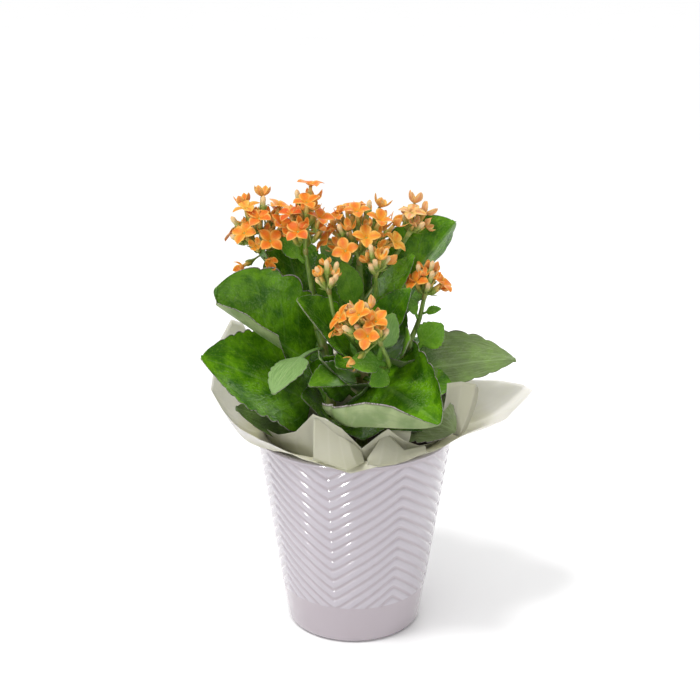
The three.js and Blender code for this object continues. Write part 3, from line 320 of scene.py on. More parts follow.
YOUNG_LEAVES = [
    leaf("leaf_young_left", ("left", 178), (-46, -58, 170), 22, (-0.35, -0.8, 0.5), 6, 8, 0.42, pale=1),
    leaf("leaf_young_middle", ("middle", 204), (-8, -14, 237), 18, (0.2, -0.95, 0.25), 1, 12),
    leaf("leaf_young_shade", (4.6, 22, 207), (-20, 20, 244), 20, (0.1, -0.9, 0.4), 1, 8, pale=0.5),
    leaf("leaf_young_grey", (14, -27, 178), (23, -32, 210), 17, (-0.3, -0.85, 0.4), 1, 8, 0.35, pale=0.5),
    leaf("leaf_young_dark", ("right", 180), (32, -42, 198), 18, (-0.2, -0.85, 0.5), 2, 8, 0.5),
    leaf("leaf_young_trough", ("middle", 162), (-26, -47, 171), 22, (0.2, -0.6, 0.8), 3, 20),
    leaf("leaf_young_right", ("right", 178), (53, -12, 198), 19, (0, -0.95, 0.3), 1, 10, 0.35),
    leaf("leaf_young_side", ("left", 231), (-53, -12, 244), 9, (-0.2, -0.7, 0.7), 1, 10),
    leaf("bract_left", (-30.3, -8, 236), (-45, -10, 250), 11, (0.3, -0.9, 0.4), 1, 10),
    leaf("bract_front_left", (16.7, -47.6, 184.7), (-3, -60, 188.5), 15, (0, -0.8, 0.6), 2, 10),
    leaf("bract_front_right", (19.2, -46.2, 179.9), (9, -60, 175.5), 13, (0.2, -0.9, 0.4), 2, 10),
    leaf("bract_right_inner", (38, -7, 201), (31, -9, 214), 8, (0.5, -0.8, 0.3), 1, 14),
    leaf("bract_right_outer", (42, -6.2, 203.2), (52, -10, 207), 6, (-0.1, -0.8, 0.6), 1, 14),
]

# Small shoots between the large leaves, which stand for no solid.
SHOOTS = [
    leaf("shoot_centre", ("middle", 150), (-3, -36, 168), 27, (0, -0.5, 0.85), 3, 12),
    leaf("shoot_bright", ("middle", 172), (-10, -46, 182), 16, (0.1, -0.75, 0.65), 2, 8, 0.4),
    leaf("shoot_left", ("left", 158), (-20, -30, 182), 22, (0.1, -0.7, 0.7), 2, 12, 0.3),
    leaf("shoot_right", ("right", 168), (30, -30, 180), 20, (0.1, -0.8, 0.6), 2, 12, 0.3),
    leaf("shoot_low_right", ("right", 134), (46, -30, 138), 30, (0, -0.4, 0.9), 3, 10),
    leaf("shoot_rear", ("middle", 184), (13, 24, 244), 32, (0.05, -0.95, 0.3), 2, 10),
    leaf("shoot_low_left", ("left", 136), (-31, -32, 159), 24, (0, -0.75, 0.65), 2, 10),
    leaf("shoot_low_middle", ("middle", 138), (4, -33, 162), 26, (-0.1, -0.75, 0.65), 2, 10),
]


# -------------------------------- general geometry
def vec(p):
    """Numbers as an array."""
    return np.array(p, dtype=float)


def unit(v):
    """Vectors over their lengths."""
    return v / np.linalg.norm(v, axis=-1, keepdims=True)


def blend(a, b, t):
    """From a at t = 0 to b at t = 1."""
    return a + (b - a) * t


def frac(x):
    """What x is past the whole number below it."""
    return x - np.floor(x)


def smooth(x, low, high):
    """0 below low, 1 above high, and a smooth step between."""
    t = np.clip((x - low) / (high - low), 0, 1)
    return t * t * (3 - 2 * t)


def ramp(x, low, high, sharpness):
    """0 below low, 1 above high, and straight between, with corners rounded more as sharpness falls."""
    low_side, high_side = (np.logaddexp(0, (x - edge) * sharpness) / sharpness for edge in (low, high))
    return (low_side - high_side) / (high - low)


def bell(x, width):
    """1 at 0, falling off to either side over about width."""
    return np.exp(-((x / width) ** 2))


def ripple(points, size, seed):
    """Soft noise from -1 to 1 with bumps about size wide: the mean of waves in seeded directions."""
    draw = np.random.default_rng(seed)
    waves = unit(draw.normal(size=(9, 3))) * (TURN / (size * draw.uniform(1.4, 2.6, (9, 1))))
    return np.sin(points @ waves.T + draw.uniform(0, TURN, 9)).mean(axis=-1) * 2


class Path:
    """A smooth curve through points, a centripetal Catmull-Rom spline, read by share of its length."""

    SAMPLES = 160

    def __init__(self, points):
        knots = vec(points)
        ends = [2 * knots[0] - knots[1], *knots, 2 * knots[-1] - knots[-2]]
        t = np.linspace(0, 1, self.SAMPLES)[:, None]
        runs = []
        for p0, p1, p2, p3 in zip(ends, ends[1:], ends[2:], ends[3:]):
            d0, d1, d2 = (math.sqrt(np.linalg.norm(b - a)) for a, b in ((p0, p1), (p1, p2), (p2, p3)))
            m1 = ((p1 - p0) / d0 - (p2 - p0) / (d0 + d1)) * d1 + p2 - p1
            m2 = ((p3 - p2) / d2 - (p3 - p1) / (d1 + d2)) * d1 + p2 - p1
            runs.append(p1 + m1 * t + (3 * (p2 - p1) - 2 * m1 - m2) * t**2 + (2 * (p1 - p2) + m1 + m2) * t**3)
        self.points = np.concatenate([run[:-1] for run in runs] + [runs[-1][-1:]])
        steps = np.linalg.norm(np.diff(self.points, axis=0), axis=1)
        self.shares = np.concatenate([[0], np.cumsum(steps)]) / steps.sum()

    def at(self, share):
        """The points at these shares of the length."""
        return np.stack([np.interp(share, self.shares, self.points[:, k]) for k in range(3)], axis=-1)

    def end_direction(self):
        """The unit vector along which the curve ends."""
        return unit(self.points[-1] - self.points[-3])

    def share_at_height(self, z):
        """The share of the length at which a rising curve reaches a height."""
        return np.interp(z, self.points[:, 2], self.shares)


def grown(start, leaving, end, arriving, steps):
    """A cubic curve of points from start to end that leaves and arrives along the given vectors."""
    t = np.linspace(0, 1, steps)[:, None]
    one, two = start + leaving / 3, end - arriving / 3
    return (1 - t) ** 3 * start + 3 * (1 - t) ** 2 * t * one + 3 * (1 - t) * t**2 * two + t**3 * end


def spoke(axis, angle):
    """Two unit vectors square to an axis: one points outward at an angle round it, the other onward."""
    level = np.array([1.0, 0.0, 0.0]) if abs(axis[2]) > 0.95 else UP
    side = unit(np.cross(axis, level))
    other = np.cross(axis, side)
    return side * math.cos(angle) + other * math.sin(angle), other * math.cos(angle) - side * math.sin(angle)


def tube_rings(points, radii, sides):
    """Rings of a tube: at each point of a path a circle of that radius, square to the path."""
    along = unit(np.gradient(points, axis=0))
    level = np.eye(3)[np.argmin(np.abs(along.mean(axis=0)))]
    side = unit(np.cross(along, level))
    other = np.cross(along, side)
    angle = (TURN * np.arange(sides) / sides)[None, :, None]
    radii = np.broadcast_to(radii, len(points))[:, None, None]
    return points[:, None] + radii * (side[:, None] * np.cos(angle) + other[:, None] * np.sin(angle))


def evenly_round(count, start=0.0):
    """So many azimuths, in degrees, evenly round from a start."""
    return start + 360 * np.arange(count) / count


def polar(azimuth, radius, z):
    """Points from azimuths in degrees, radii and heights."""
    a = np.radians(azimuth)
    return np.stack(np.broadcast_arrays(radius * np.cos(a), radius * np.sin(a), z), axis=-1)


def paint_of(x, y=0.0, z=0.0):
    """Paint for points: three numbers, each of them one for all or an array."""
    return np.stack(np.broadcast_arrays(x, y, z), axis=-1)


def there_and_back(lines):
    """The points round a flat section: v, along its lines and back under them, and over, 1 above, -1 below."""
    v = np.concatenate([lines, lines[-2:0:-1]])[None, :, None]
    over = np.repeat([1.0, -1.0], [len(lines), len(lines) - 2])[None, :, None]
    return v, over


def facets(*corners):
    """Faces from the numbers of their first points, their second points and so on."""
    return np.stack(np.broadcast_arrays(*corners), axis=-1).reshape(-1, len(corners))


class Piece:
    """Points, faces, paint and finish numbers of one mesh, gathered surface by surface, in millimetres.

    paint is three numbers for each point that the finish reads as it needs them, and paleness one for the
    piece.
    """

    def __init__(self, name, paleness=0.0):
        self.name = name
        self.paleness = paleness
        self.points, self.paint, self.faces, self.slots = [], [], [], []
        self.count = 0

    def add(self, points, faces, paint, slot=0):
        """Takes up points, their paint, and arrays of faces that go by the numbers of these points."""
        points = points.reshape(-1, 3)
        self.points.append(points)
        self.paint.append(np.broadcast_to(paint, points.shape))
        self.faces.extend((face + self.count).tolist() for face in faces)
        self.slots.append(np.full(sum(len(face) for face in faces), slot))
        self.count += len(points)

    def loft(self, rings, paint, slot=0):
        """A closed skin over rings of equally many points, with a fan over each end."""
        rows, count, _ = rings.shape
        row = np.arange(rows - 1)[:, None] * count
        j = np.arange(count)
        k = (j + 1) % count
        first, last, top = rows * count, rows * count + 1, (rows - 1) * count
        walls = facets(row + j, row + k, row + count + k, row + count + j)
        points, colours = (
            np.concatenate([values.reshape(-1, 3), values[[0, -1]].mean(axis=1)])
            for values in (rings, np.broadcast_to(paint, rings.shape))
        )
        self.add(points, [walls, facets(first, k, j), facets(last, top + j, top + k)], colours, slot)

    def tube(self, points, radii, sides, paint, slot=0):
        """A tube along a path, with a radius and a paint for all of it or for each point of the path."""
        self.loft(tube_rings(points, radii, sides), np.atleast_2d(paint)[:, None], slot)

    def sheet(self, grid, paint, round_columns=False):
        """A thin closed sheet of paper: a grid of points moved half a thickness to either side of itself."""
        rows, columns, _ = grid.shape
        if round_columns:
            right = np.roll(grid, -1, axis=1) - np.roll(grid, 1, axis=1)
        else:
            right = np.gradient(grid, axis=1)
        normal = np.cross(right, np.gradient(grid, axis=0))
        normal /= np.maximum(np.linalg.norm(normal, axis=-1, keepdims=True), TINY)
        points = np.concatenate([grid + normal * PAPER_THICKNESS / 2, grid - normal * PAPER_THICKNESS / 2])
        i = np.arange(rows - 1)[:, None] * columns
        j = np.arange(columns if round_columns else columns - 1)
        k = (j + 1) % columns
        below = rows * columns
        last = below - columns
        upper = facets(i + j, i + k, i + columns + k, i + columns + j)
        walls = [
            facets(j, below + j, below + k, k),
            facets(last + j, last + k, below + last + k, below + last + j),
        ]
        if not round_columns:
            onward, end = i + columns, columns - 1
            walls += [
                facets(i, onward, below + onward, below + i),
                facets(i + end, below + i + end, below + onward + end, onward + end),
            ]
        colours = np.concatenate([np.broadcast_to(paint, grid.shape)] * 2).reshape(-1, 3)
        self.add(points, [upper, upper[:, ::-1] + below, *walls], colours)

    def finish(self, materials, slot, *nodes):
        """Makes this piece's object, in metres, in place of CAD nodes and with its materials. slot is not
        used.
        """
        mesh = bpy.data.meshes.new(self.name)
        points = (np.concatenate(self.points) * MM).tolist()
        mesh.from_pydata(points, [], [face for faces in self.faces for face in faces])
        mesh.polygons.foreach_set("material_index", np.concatenate(self.slots).astype(np.int32))
        mesh.shade_smooth()
        paint = mesh.attributes.new("paint", "FLOAT_VECTOR", "POINT")
        paint.data.foreach_set("vector", np.concatenate(self.paint).ravel())
        if self.paleness:
            paleness = mesh.attributes.new("paleness", "FLOAT", "POINT")
            paleness.data.foreach_set("value", [self.paleness] * self.count)
        for material in materials:
            mesh.materials.append(material)
        piece = add_object(self.name, mesh)
        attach(piece, "root")
        if nodes:
            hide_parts(*nodes)


def add_object(name, data):
    """A new object of a mesh, a light or a camera in the scene."""
    thing = bpy.data.objects.new(name, data)
    bpy.context.collection.objects.link(thing)
    return thing


# -------------------------------- shader maths
def math_node(operation, swapped=False):
    """A method that feeds a value, and those it is called with, to a Math node."""
    def method(self, *others):
        terms = (*others, self) if swapped else (self, *others)
        return self.tree.node("ShaderNodeMath", dict(operation=operation), *terms)
    return method


class Value:
    """A socket of a node tree; arithmetic on it adds nodes."""

    def __init__(self, tree, socket):
        self.tree = tree
        self.socket = socket

    __add__ = __radd__ = math_node("ADD")
    __mul__ = __rmul__ = math_node("MULTIPLY")
    __sub__ = math_node("SUBTRACT")
    __rsub__ = math_node("SUBTRACT", swapped=True)
    __gt__ = math_node("GREATER_THAN")
    __abs__ = math_node("ABSOLUTE")
    sine = math_node("SINE")

    def clamped(self):
        """The value, held from 0 to 1."""
        return self.tree.node("ShaderNodeClamp", {}, self)

    def step(self, low, high):
        """0 below low and 1 above high, smooth between."""
        return self.tree.node("ShaderNodeMapRange", dict(interpolation_type="SMOOTHSTEP"), self, low, high)

    def ranged(self, low, high):
        """From low at 0 to high at 1, straight between."""
        return self.tree.node("ShaderNodeMapRange", {}, self, To_Min=low, To_Max=high)


class NodeTree:
    """The nodes of a material or a world."""

    def __init__(self, owner):
        owner.use_nodes = True
        self.nodes = owner.node_tree.nodes
        self.links = owner.node_tree.links

    def feed(self, node, sockets):
        """Gives input sockets of a node, by number or name, constants or links; None leaves one as it is."""
        for key, value in sockets.items():
            socket = node.inputs[key.replace("_", " ") if isinstance(key, str) else key]
            if isinstance(value, Value):
                self.links.new(value.socket, socket)
            elif value is not None:
                socket.default_value = value

    def node(self, kind, settings, *inputs, output=0, **named):
        """The output of a new node of a kind: its settings are set first, then its input sockets."""
        node = self.nodes.new(kind)
        for name, value in settings.items():
            setattr(node, name, value)
        self.feed(node, {**dict(enumerate(inputs)), **named})
        return Value(self, node.outputs[output])

    def split(self, vector):
        """The three numbers of a vector."""
        parts = self.node("ShaderNodeSeparateXYZ", {}, vector)
        return [Value(self, socket) for socket in parts.socket.node.outputs]


class Finish(NodeTree):
    """A material under construction: a Principled shader and the nodes that feed it."""

    def __init__(self, name, subsurface=None, **constants):
        self.material = bpy.data.materials.new(name)
        super().__init__(self.material)
        self.shader = self.nodes["Principled BSDF"]
        if subsurface:
            names = ("Subsurface_Weight", "Subsurface_Scale", "Subsurface_Radius")
            constants.update(zip(names, subsurface))
        self.feed(self.shader, constants)

    def paint(self):
        """The three numbers painted on the piece's points."""
        return self.split(self.node("ShaderNodeAttribute", dict(attribute_name="paint"), output="Vector"))

    def place(self):
        """The place on the object, in metres."""
        return self.node("ShaderNodeTexCoord", {}, output="Object")

    def noise(self, size, detail=2.0, rough=0.5, at=None, stretch=None):
        """Noise from about 0 to 1 whose blotches are about size millimetres wide."""
        at = at or self.place()
        if stretch:
            at = self.node("ShaderNodeMapping", {}, at, Scale=stretch)
        return self.node("ShaderNodeTexNoise", {}, at, Scale=1 / (size * MM), Detail=detail, Roughness=rough)

    def mix(self, factor, a, b):
        """Colour a, turning to b as factor goes from 0 to 1."""
        a, b = ((*c, 1) if isinstance(c, tuple) else c for c in (a, b))
        settings = dict(data_type="RGBA", clamp_factor=True)
        return self.node("ShaderNodeMix", settings, factor, *[None] * 5, a, b, output=2)

    def coats(self, colour, *coats):
        """A colour under coats, each of them a factor and a colour."""
        for factor, coat in coats:
            colour = self.mix(factor, colour, coat)
        return colour

    def stops(self, factor, *stops):
        """A colour that runs through stops, each of them a place from 0 to 1 and a colour."""
        value = self.node("ShaderNodeValToRGB", {}, factor)
        elements = value.socket.node.color_ramp.elements
        for _ in stops[2:]:
            elements.new(0.5)
        for element, (position, colour) in zip(elements, stops):
            element.position = position
            element.color = (*colour, 1)
        return value

    def bump(self, height, strength, depth, under=None):
        """A normal tilted by a height from 0 to 1 that stands for depth millimetres."""
        sockets = dict(Strength=strength, Distance=depth * MM, Height=height, Normal=under)
        return self.node("ShaderNodeBump", {}, **sockets)

    def surface(self, **sockets):
        """Feeds the shader's sockets and gives the material."""
        self.feed(self.shader, sockets)
        return self.material


# -------------------------------- finishes
def glaze_finish():
    """Glossy lilac-white glaze that pools a little darker in grooves, with painted shade in the same darker
    tone on the smooth band by the foot. paint x: 0 in a groove, 1 on a rib, and low on the band for its
    painted shade.
    """
    f = Finish("lilac_glaze", IOR=1.5, Coat_Weight=0.8, Coat_Roughness=0.06)
    rib, _, _ = f.paint()
    cloud = f.noise(26, 3)
    # darker where the glaze pools in grooves, and on the smooth band as painted shade
    pooled_and_band_shade = 1 - rib.step(0.0, 0.9) + (cloud - 0.5) * 0.25
    specks = f.noise(0.7, 2).step(0.72, 0.8)
    pool_and_band_shade_tone, speck = (0.42, 0.367, 0.40), (0.40, 0.34, 0.36)
    colour = f.coats((0.48, 0.443, 0.49), (pooled_and_band_shade, pool_and_band_shade_tone), (specks * 0.25, speck))
    roughness = cloud * 0.1 + 0.12
    return f.surface(Base_Color=colour, Roughness=roughness, Normal=f.bump(f.noise(5, 2), 0.12, 0.35))


def paper_finish(name, low, high, worn):
    """Soft florist paper with fibres and faint crumples, with painted shade low by the mouth that turns to
    painted light up in the lobes. paint y: 1 on a crease."""
    f = Finish(name, (0.4, 0.002, (1.0, 1.0, 0.7)))
    _, crease, _ = f.paint()
    cloud = f.noise(22, 3)
    _, _, height = f.split(f.place())
    fibre = f.noise(0.5, 3, 0.6, stretch=(1, 1, 0.35))
    colour = f.coats(
        low,
        # painted shade by the mouth turning to painted light up in the lobes, with a little random tone
        (height.step(*PAPER_SHADE_TURNS_LIT) * 0.85 + cloud.step(0.3, 0.7) * 0.15, high),
        (crease * 0.2, worn),
        (fibre.step(0.62, 0.75) * 0.25, worn),
    )
    normal = f.bump(f.noise(7, 4, 0.55), 0.3, 1.0, f.bump(fibre, 0.25, 0.06))
    return f.surface(Base_Color=colour, Roughness=fibre * 0.2 + 0.5, Normal=normal)


def leaf_finish(name, dark, bright, vein, washed, gloss):
    """Waxy leaf, washed out as far as its piece is pale, with painted sheen in pale speckles, painted shade in
    the hollows of its pebbling and wrinkles, and painted highlight along its margins. paint x: -1 and 1 at the
    margins; y: 0 at the foot and 1 at the tip; z: 1 on the underside."""
    f = Finish(name, (0.05, 0.001, (0.6, 1.0, 0.3)), IOR=1.32)
    across, along, under = f.paint()
    pale = f.node("ShaderNodeAttribute", dict(attribute_name="paleness"), output="Fac")
    out = abs(across)
    blotch = f.noise(12, 3)
    fine = f.noise(1.1, 3, 0.6)
    pebble = f.noise(2.6, 2, 0.55)
    ribs = ((along * 5.5 - out * 2.1 + f.noise(6, 2) * 0.35) * TURN).sine()
    side_vein = ribs.step(0.9, 1.0) * (1 - out.step(0.6, 0.9)) * out.step(0.02, 0.1)
    mid_vein = 1 - out.step(0.012, 0.05)
    lengthwise = f.node("ShaderNodeCombineXYZ", {}, across * 0.03, along * 0.008 + out * 0.004, under * 0.1)
    streak = f.noise(1.3, 3, 0.6, at=lengthwise)
    crosswise = f.node("ShaderNodeCombineXYZ", {}, across * 0.016, along * 0.05 - out * 0.016, under * 0.1)
    wrinkle = f.noise(2.4, 3, 0.6, at=crosswise)
    # pale speckles of painted sheen
    painted_sheen = f.noise(20, 2).step(0.48, 0.66) * fine.step(0.46, 0.66)

    upper = f.coats(
        dark,
        (blotch.step(0.32, 0.68), bright),
        (fine.step(0.5, 0.75) * 0.4 + streak.step(0.5, 0.75) * 0.35, vein),
        # painted shade: darker in the hollows of the pebbling and wrinkles
        ((1 - pebble.step(0.3, 0.5)) * 0.4 + (1 - wrinkle.step(0.35, 0.6)) * 0.3, dark),
        (painted_sheen * 0.22, (0.30, 0.38, 0.22)),
        (pale * along.step(0.15, 0.4), f.mix(streak.step(0.35, 0.7), *washed)),
        (side_vein * (pale * 0.12 + 0.05) + mid_vein * (pale * 0.4 + 0.12), (0.34, 0.46, 0.20)),
    )
    lower = f.coats(
        (0.17, 0.245, 0.09),
        (blotch.step(0.3, 0.7), (0.31, 0.375, 0.18)),
        (streak.step(0.4, 0.75) * 0.5, (0.20, 0.26, 0.12)),
        (side_vein * 0.25 + mid_vein * 0.4, (0.38, 0.43, 0.26)),
    )
    margin = (out + (fine - 0.5) * 0.02).step(0.955, 0.985) * along.step(0.12, 0.2)
    # a dark purple margin, the leaf's own colour, with pale lilac flecks on its very edge that are painted
    # highlight
    rim = f.mix(out.step(0.972, 0.99) * fine.step(0.35, 0.55), (0.03, 0.012, 0.014), (0.42, 0.36, 0.38))
    colour = f.coats(upper, (under.step(0.4, 0.6), lower), (margin * 0.85, rim))

    pores = f.bump(fine, 0.45, 0.15)
    pebbled = f.bump(pebble * 0.5 + streak * 0.2 + wrinkle * 0.6, 0.65, 0.9, pores)
    return f.surface(
        Base_Color=colour,
        Roughness=blotch * 0.14 + fine * 0.14 + gloss + under * 0.2,
        Normal=f.bump(side_vein + mid_vein, 0.3, 0.25, pebbled),
    )


def petal_finish():
    """Petals and flower tubes. paint x: -1 at the foot of the tube, 0 at the throat, 1 at a petal's tip; y:
    the flower's draw, from yellow at 0 to red at 1, and 2 on buds; z: how far out a petal's point lies, from
    0 on its middle line to 1 at its margin, plus 2 on its back."""
    f = Finish("petals", (0.2, 0.0015, (1.0, 0.5, 0.2)), Roughness=0.5, IOR=1.3)
    along, draw, where = f.paint()
    back = where > 1.5
    side = where - back * 2
    cloud = f.noise(2.4, 2)
    streak = f.noise(0.9, 2)
    ripeness = f.stops(
        (draw + (cloud - 0.5) * 0.45).clamped(),
        (0.0, (0.72, 0.48, 0.25)), (0.15, (0.76, 0.41, 0.06)), (0.4, (0.76, 0.27, 0.018)),
        (0.7, (0.74, 0.175, 0.012)), (1.0, (0.62, 0.075, 0.008)),
    )
    petal = f.coats(
        ripeness,
        ((1 - along.step(0.0, 0.5)) * 0.5, (0.78, 0.40, 0.015)),
        ((1 - along.step(0.02, 0.09)) * 0.9, (0.16, 0.17, 0.02)),
        (along.step(0.75, 1.0) * 0.2, (0.74, 0.34, 0.08)),
        ((1 - side.step(0.05, 0.4)) * along.step(0.1, 0.5) * 0.5, (0.70, 0.11, 0.012)),
        (side.step(0.5, 0.95) * 0.75, (0.86, 0.52, 0.13)),
        (back * 0.4, (0.68, 0.35, 0.13)),
    )
    tube = f.mix((along + 1).step(0.05, 0.95), (0.27, 0.35, 0.05), (0.70, 0.44, 0.12))
    bud = f.coats(
        (0.33, 0.42, 0.09),
        ((along + 1).step(0.45, 1.6), (0.74, 0.54, 0.28)),
        (along.step(0.6, 1.0) * 0.5, (0.72, 0.37, 0.16)),
    )
    colour = f.coats(tube, (along.step(-0.12, 0.02), petal), (draw > 1.5, bud),
                     (streak.step(0.55, 0.8) * 0.18, (0.80, 0.52, 0.24)))
    return f.surface(Base_Color=colour, Normal=f.bump(streak, 0.25, 0.12))


def stalk_finish(name, pale, deep, flush):
    """Fleshy green stalks, flushed at their joints. paint x: 1 at a joint; y: 1 high on the plant."""
    f = Finish(name, (0.1, 0.001, (0.7, 1.0, 0.2)), IOR=1.45)
    joint, high, _ = f.paint()
    streak = f.noise(1.6, 3, 0.6, stretch=(1, 1, 0.15))
    colour = f.coats(
        deep,
        (streak.step(0.3, 0.75), pale),
        (joint * f.noise(8, 2).step(0.25, 0.6) * 0.6, flush),
        ((1 - high) * 0.5, (0.20, 0.17, 0.05)),
    )
    return f.surface(Base_Color=colour, Roughness=streak * 0.2 + 0.32, Normal=f.bump(streak, 0.3, 0.15))


def soil_finish():
    """Dark potting soil of crumbs and fibres with a few pale grains."""
    f = Finish("potting_soil")
    crumb = f.noise(2.2, 4, 0.65)
    grain = f.noise(0.8, 3, 0.6)
    colour = f.coats(
        (0.012, 0.007, 0.004),
        (crumb.step(0.3, 0.7), (0.060, 0.034, 0.018)),
        (grain.step(0.6, 0.72) * 0.5, (0.12, 0.075, 0.04)),
        (f.noise(3.1, 1).step(0.74, 0.78), (0.42, 0.38, 0.30)),
    )
    normal = f.bump(crumb, 0.9, 1.6, f.bump(grain, 0.8, 0.5))
    return f.surface(Base_Color=colour, Roughness=grain * 0.2 + 0.78, Normal=normal)


def plastic_finish():
    """Thin brown nursery plastic, scuffed and a little dusty."""
    f = Finish("nursery_plastic")
    scuff = f.noise(1.2, 3, stretch=(1, 1, 0.2))
    colour = f.mix(f.noise(9, 4, 0.6).step(0.4, 0.75) * 0.5, (0.045, 0.022, 0.014), (0.12, 0.085, 0.06))
    return f.surface(Base_Color=colour, Roughness=scuff * 0.25 + 0.38, Normal=f.bump(scuff, 0.25, 0.12))


GLAZE = glaze_finish()
# low is the painted shade by the mouth, high the painted light up in the lobes
OUTER_PAPER = paper_finish(
    "pale_paper", low=(0.43, 0.42, 0.30), high=(0.71, 0.68, 0.64), worn=(0.74, 0.72, 0.67))
# low is the painted shade by the mouth, high the painted light up in the lobes; this paper is deeper in tone
# than the outer one
INNER_PAPER = paper_finish(
    "cream_paper", low=(0.35, 0.345, 0.24), high=(0.39, 0.38, 0.285), worn=(0.50, 0.49, 0.39))
LEAF = leaf_finish(
    "dark_leaf", dark=(0.03, 0.12, 0.002), bright=(0.14, 0.35, 0.004), vein=(0.22, 0.43, 0.02),
    washed=((0.175, 0.203, 0.098), (0.27, 0.303, 0.18)), gloss=0.1)
YOUNG_LEAF = leaf_finish(
    "young_leaf", dark=(0.06, 0.19, 0.006), bright=(0.16, 0.36, 0.015), vein=(0.28, 0.47, 0.06),
    washed=((0.175, 0.30, 0.09), (0.30, 0.47, 0.18)), gloss=0.2)
PETAL = petal_finish()
STEM = stalk_finish("stems", pale=(0.25, 0.36, 0.06), deep=(0.12, 0.22, 0.03), flush=(0.20, 0.09, 0.05))
FLOWER_STALK = stalk_finish(
    "flower_stalks", pale=(0.36, 0.44, 0.10), deep=(0.20, 0.30, 0.045), flush=(0.26, 0.14, 0.06))
SOIL = soil_finish()
NURSERY_PLASTIC = plastic_finish()


# -------------------------------- cover pot
def pot_radius(z):
    """The radius of the pot's outer cone at a height."""
    return blend(POT_BASE_RADIUS, POT_TOP_RADIUS, z / POT_HEIGHT)


def zigzag(azimuth):
    """Height of a rib above its valley: a triangle wave whose corners are slightly rounded."""
    phase = frac((azimuth - VALLEY_AT) * ZIGZAGS / 360)
    peak = np.sqrt((2 * phase - 1) ** 2 + CORNER_ROUNDING**2) - CORNER_ROUNDING
    valley_rounding = CORNER_ROUNDING * np.exp(-np.minimum(phase, 1 - phase) / CORNER_ROUNDING)
    return RIB_RISE * (1 - peak + valley_rounding)


def cover_pot():
    """The pot as one turned skin. Its outer wall is a cone with ribs. Across a rib, from groove to groove,
    the height is a straight ramp with rounded corners. The ribs climb and fall round the pot as a triangle
    wave."""
    azimuth = evenly_round(POT_COLUMNS, VALLEY_AT)
    arc = np.radians(np.linspace(0, 90, FOOT_ROWS))
    z = np.concatenate([
        FOOT_ROUNDING * (1 - np.cos(arc)),
        np.linspace(FOOT_ROUNDING + 2, RIB_BOTTOM - 1, BAND_ROWS),
        np.linspace(RIB_BOTTOM - 0.6, RIB_TOP + 0.4, WALL_ROWS),
    ])
    foot_radius = pot_radius(FOOT_ROUNDING) - FOOT_ROUNDING * (1 - np.sin(arc))
    radius = np.concatenate([foot_radius, pot_radius(z[FOOT_ROWS:])])
    phase = frac((z[:, None] - zigzag(azimuth) - (RIB_BOTTOM - RIB_RISE - RIB_PITCH / 4)) / RIB_PITCH)
    rib = ramp(1 - np.abs(2 * phase - 1), *RIB_SHOULDER, SHOULDER_SHARPNESS)
    window = smooth(z, RIB_BOTTOM - 0.5, RIB_BOTTOM + 0.5) * (1 - smooth(z, RIB_TOP - RIB_FADE, RIB_TOP))
    lift = ((RIB_OUT + RIB_IN) * rib - RIB_IN) * window[:, None]
    outer = polar(azimuth, radius[:, None] + lift, z[:, None])

    over = np.radians(np.linspace(0, 180, RIM_ROWS))
    wall_z = np.array([100, 60, 20, POT_FLOOR + 0.01])
    rest_radius = np.concatenate([
        POT_TOP_RADIUS - POT_WALL / 2 * (1 - np.cos(over)),
        pot_radius(wall_z) - POT_WALL,
    ])
    rest_z = np.concatenate([POT_HEIGHT - RIM_ROUNDING * (1 - np.sin(over) ** RIM_SQUARENESS), wall_z])
    rest = polar(azimuth, rest_radius[:, None], rest_z[:, None])
    # glaze paint: grooves and crests of the ribs, and painted shade on the smooth band
    shade = np.concatenate([blend(BAND_PAINTED_SHADE, rib, window[:, None]), np.ones(rest.shape[:2])])
    piece = Piece("cover_pot_glazed")
    piece.loft(np.concatenate([outer, rest]), paint_of(shade))
    piece.finish([GLAZE], "glaze", "cover_pot")


# -------------------------------- paper wraps
def crease(share):
    """1 on the creases at shares 0 and 1 of the way between them, falling off beside them."""
    return bell(np.minimum(share, 1 - share), CREASE_WIDTH)


def paper_wrap(name, node, creases, inset, lift, finish, seed, flaps=()):
    """A wrap: a floor and a cup inside the pot, then the flare over its mouth, and loose flaps."""
    around = evenly_round(len(creases) * PAPER_STEPS, VALLEY_AT)
    floor = polar(around, np.array([0.2, 20])[:, None], POT_FLOOR + inset)
    cup_z = np.array([POT_FLOOR + inset, 30, 60, 90, CUP_TOP])
    cup = polar(around, (pot_radius(cup_z) - POT_WALL - inset - CLEARANCE)[:, None], cup_z[:, None])
    flare, paint = paper_flare(creases, inset, lift, seed)
    plain = np.zeros((len(floor) + len(cup), len(around), 3))
    piece = Piece(name)
    piece.sheet(np.concatenate([floor, cup, flare]), np.concatenate([plain, paint]), round_columns=True)
    for number, folds in enumerate(flaps):
        paper_flap(piece, folds, seed + 10 + number)
    piece.finish([finish], "paper", node)


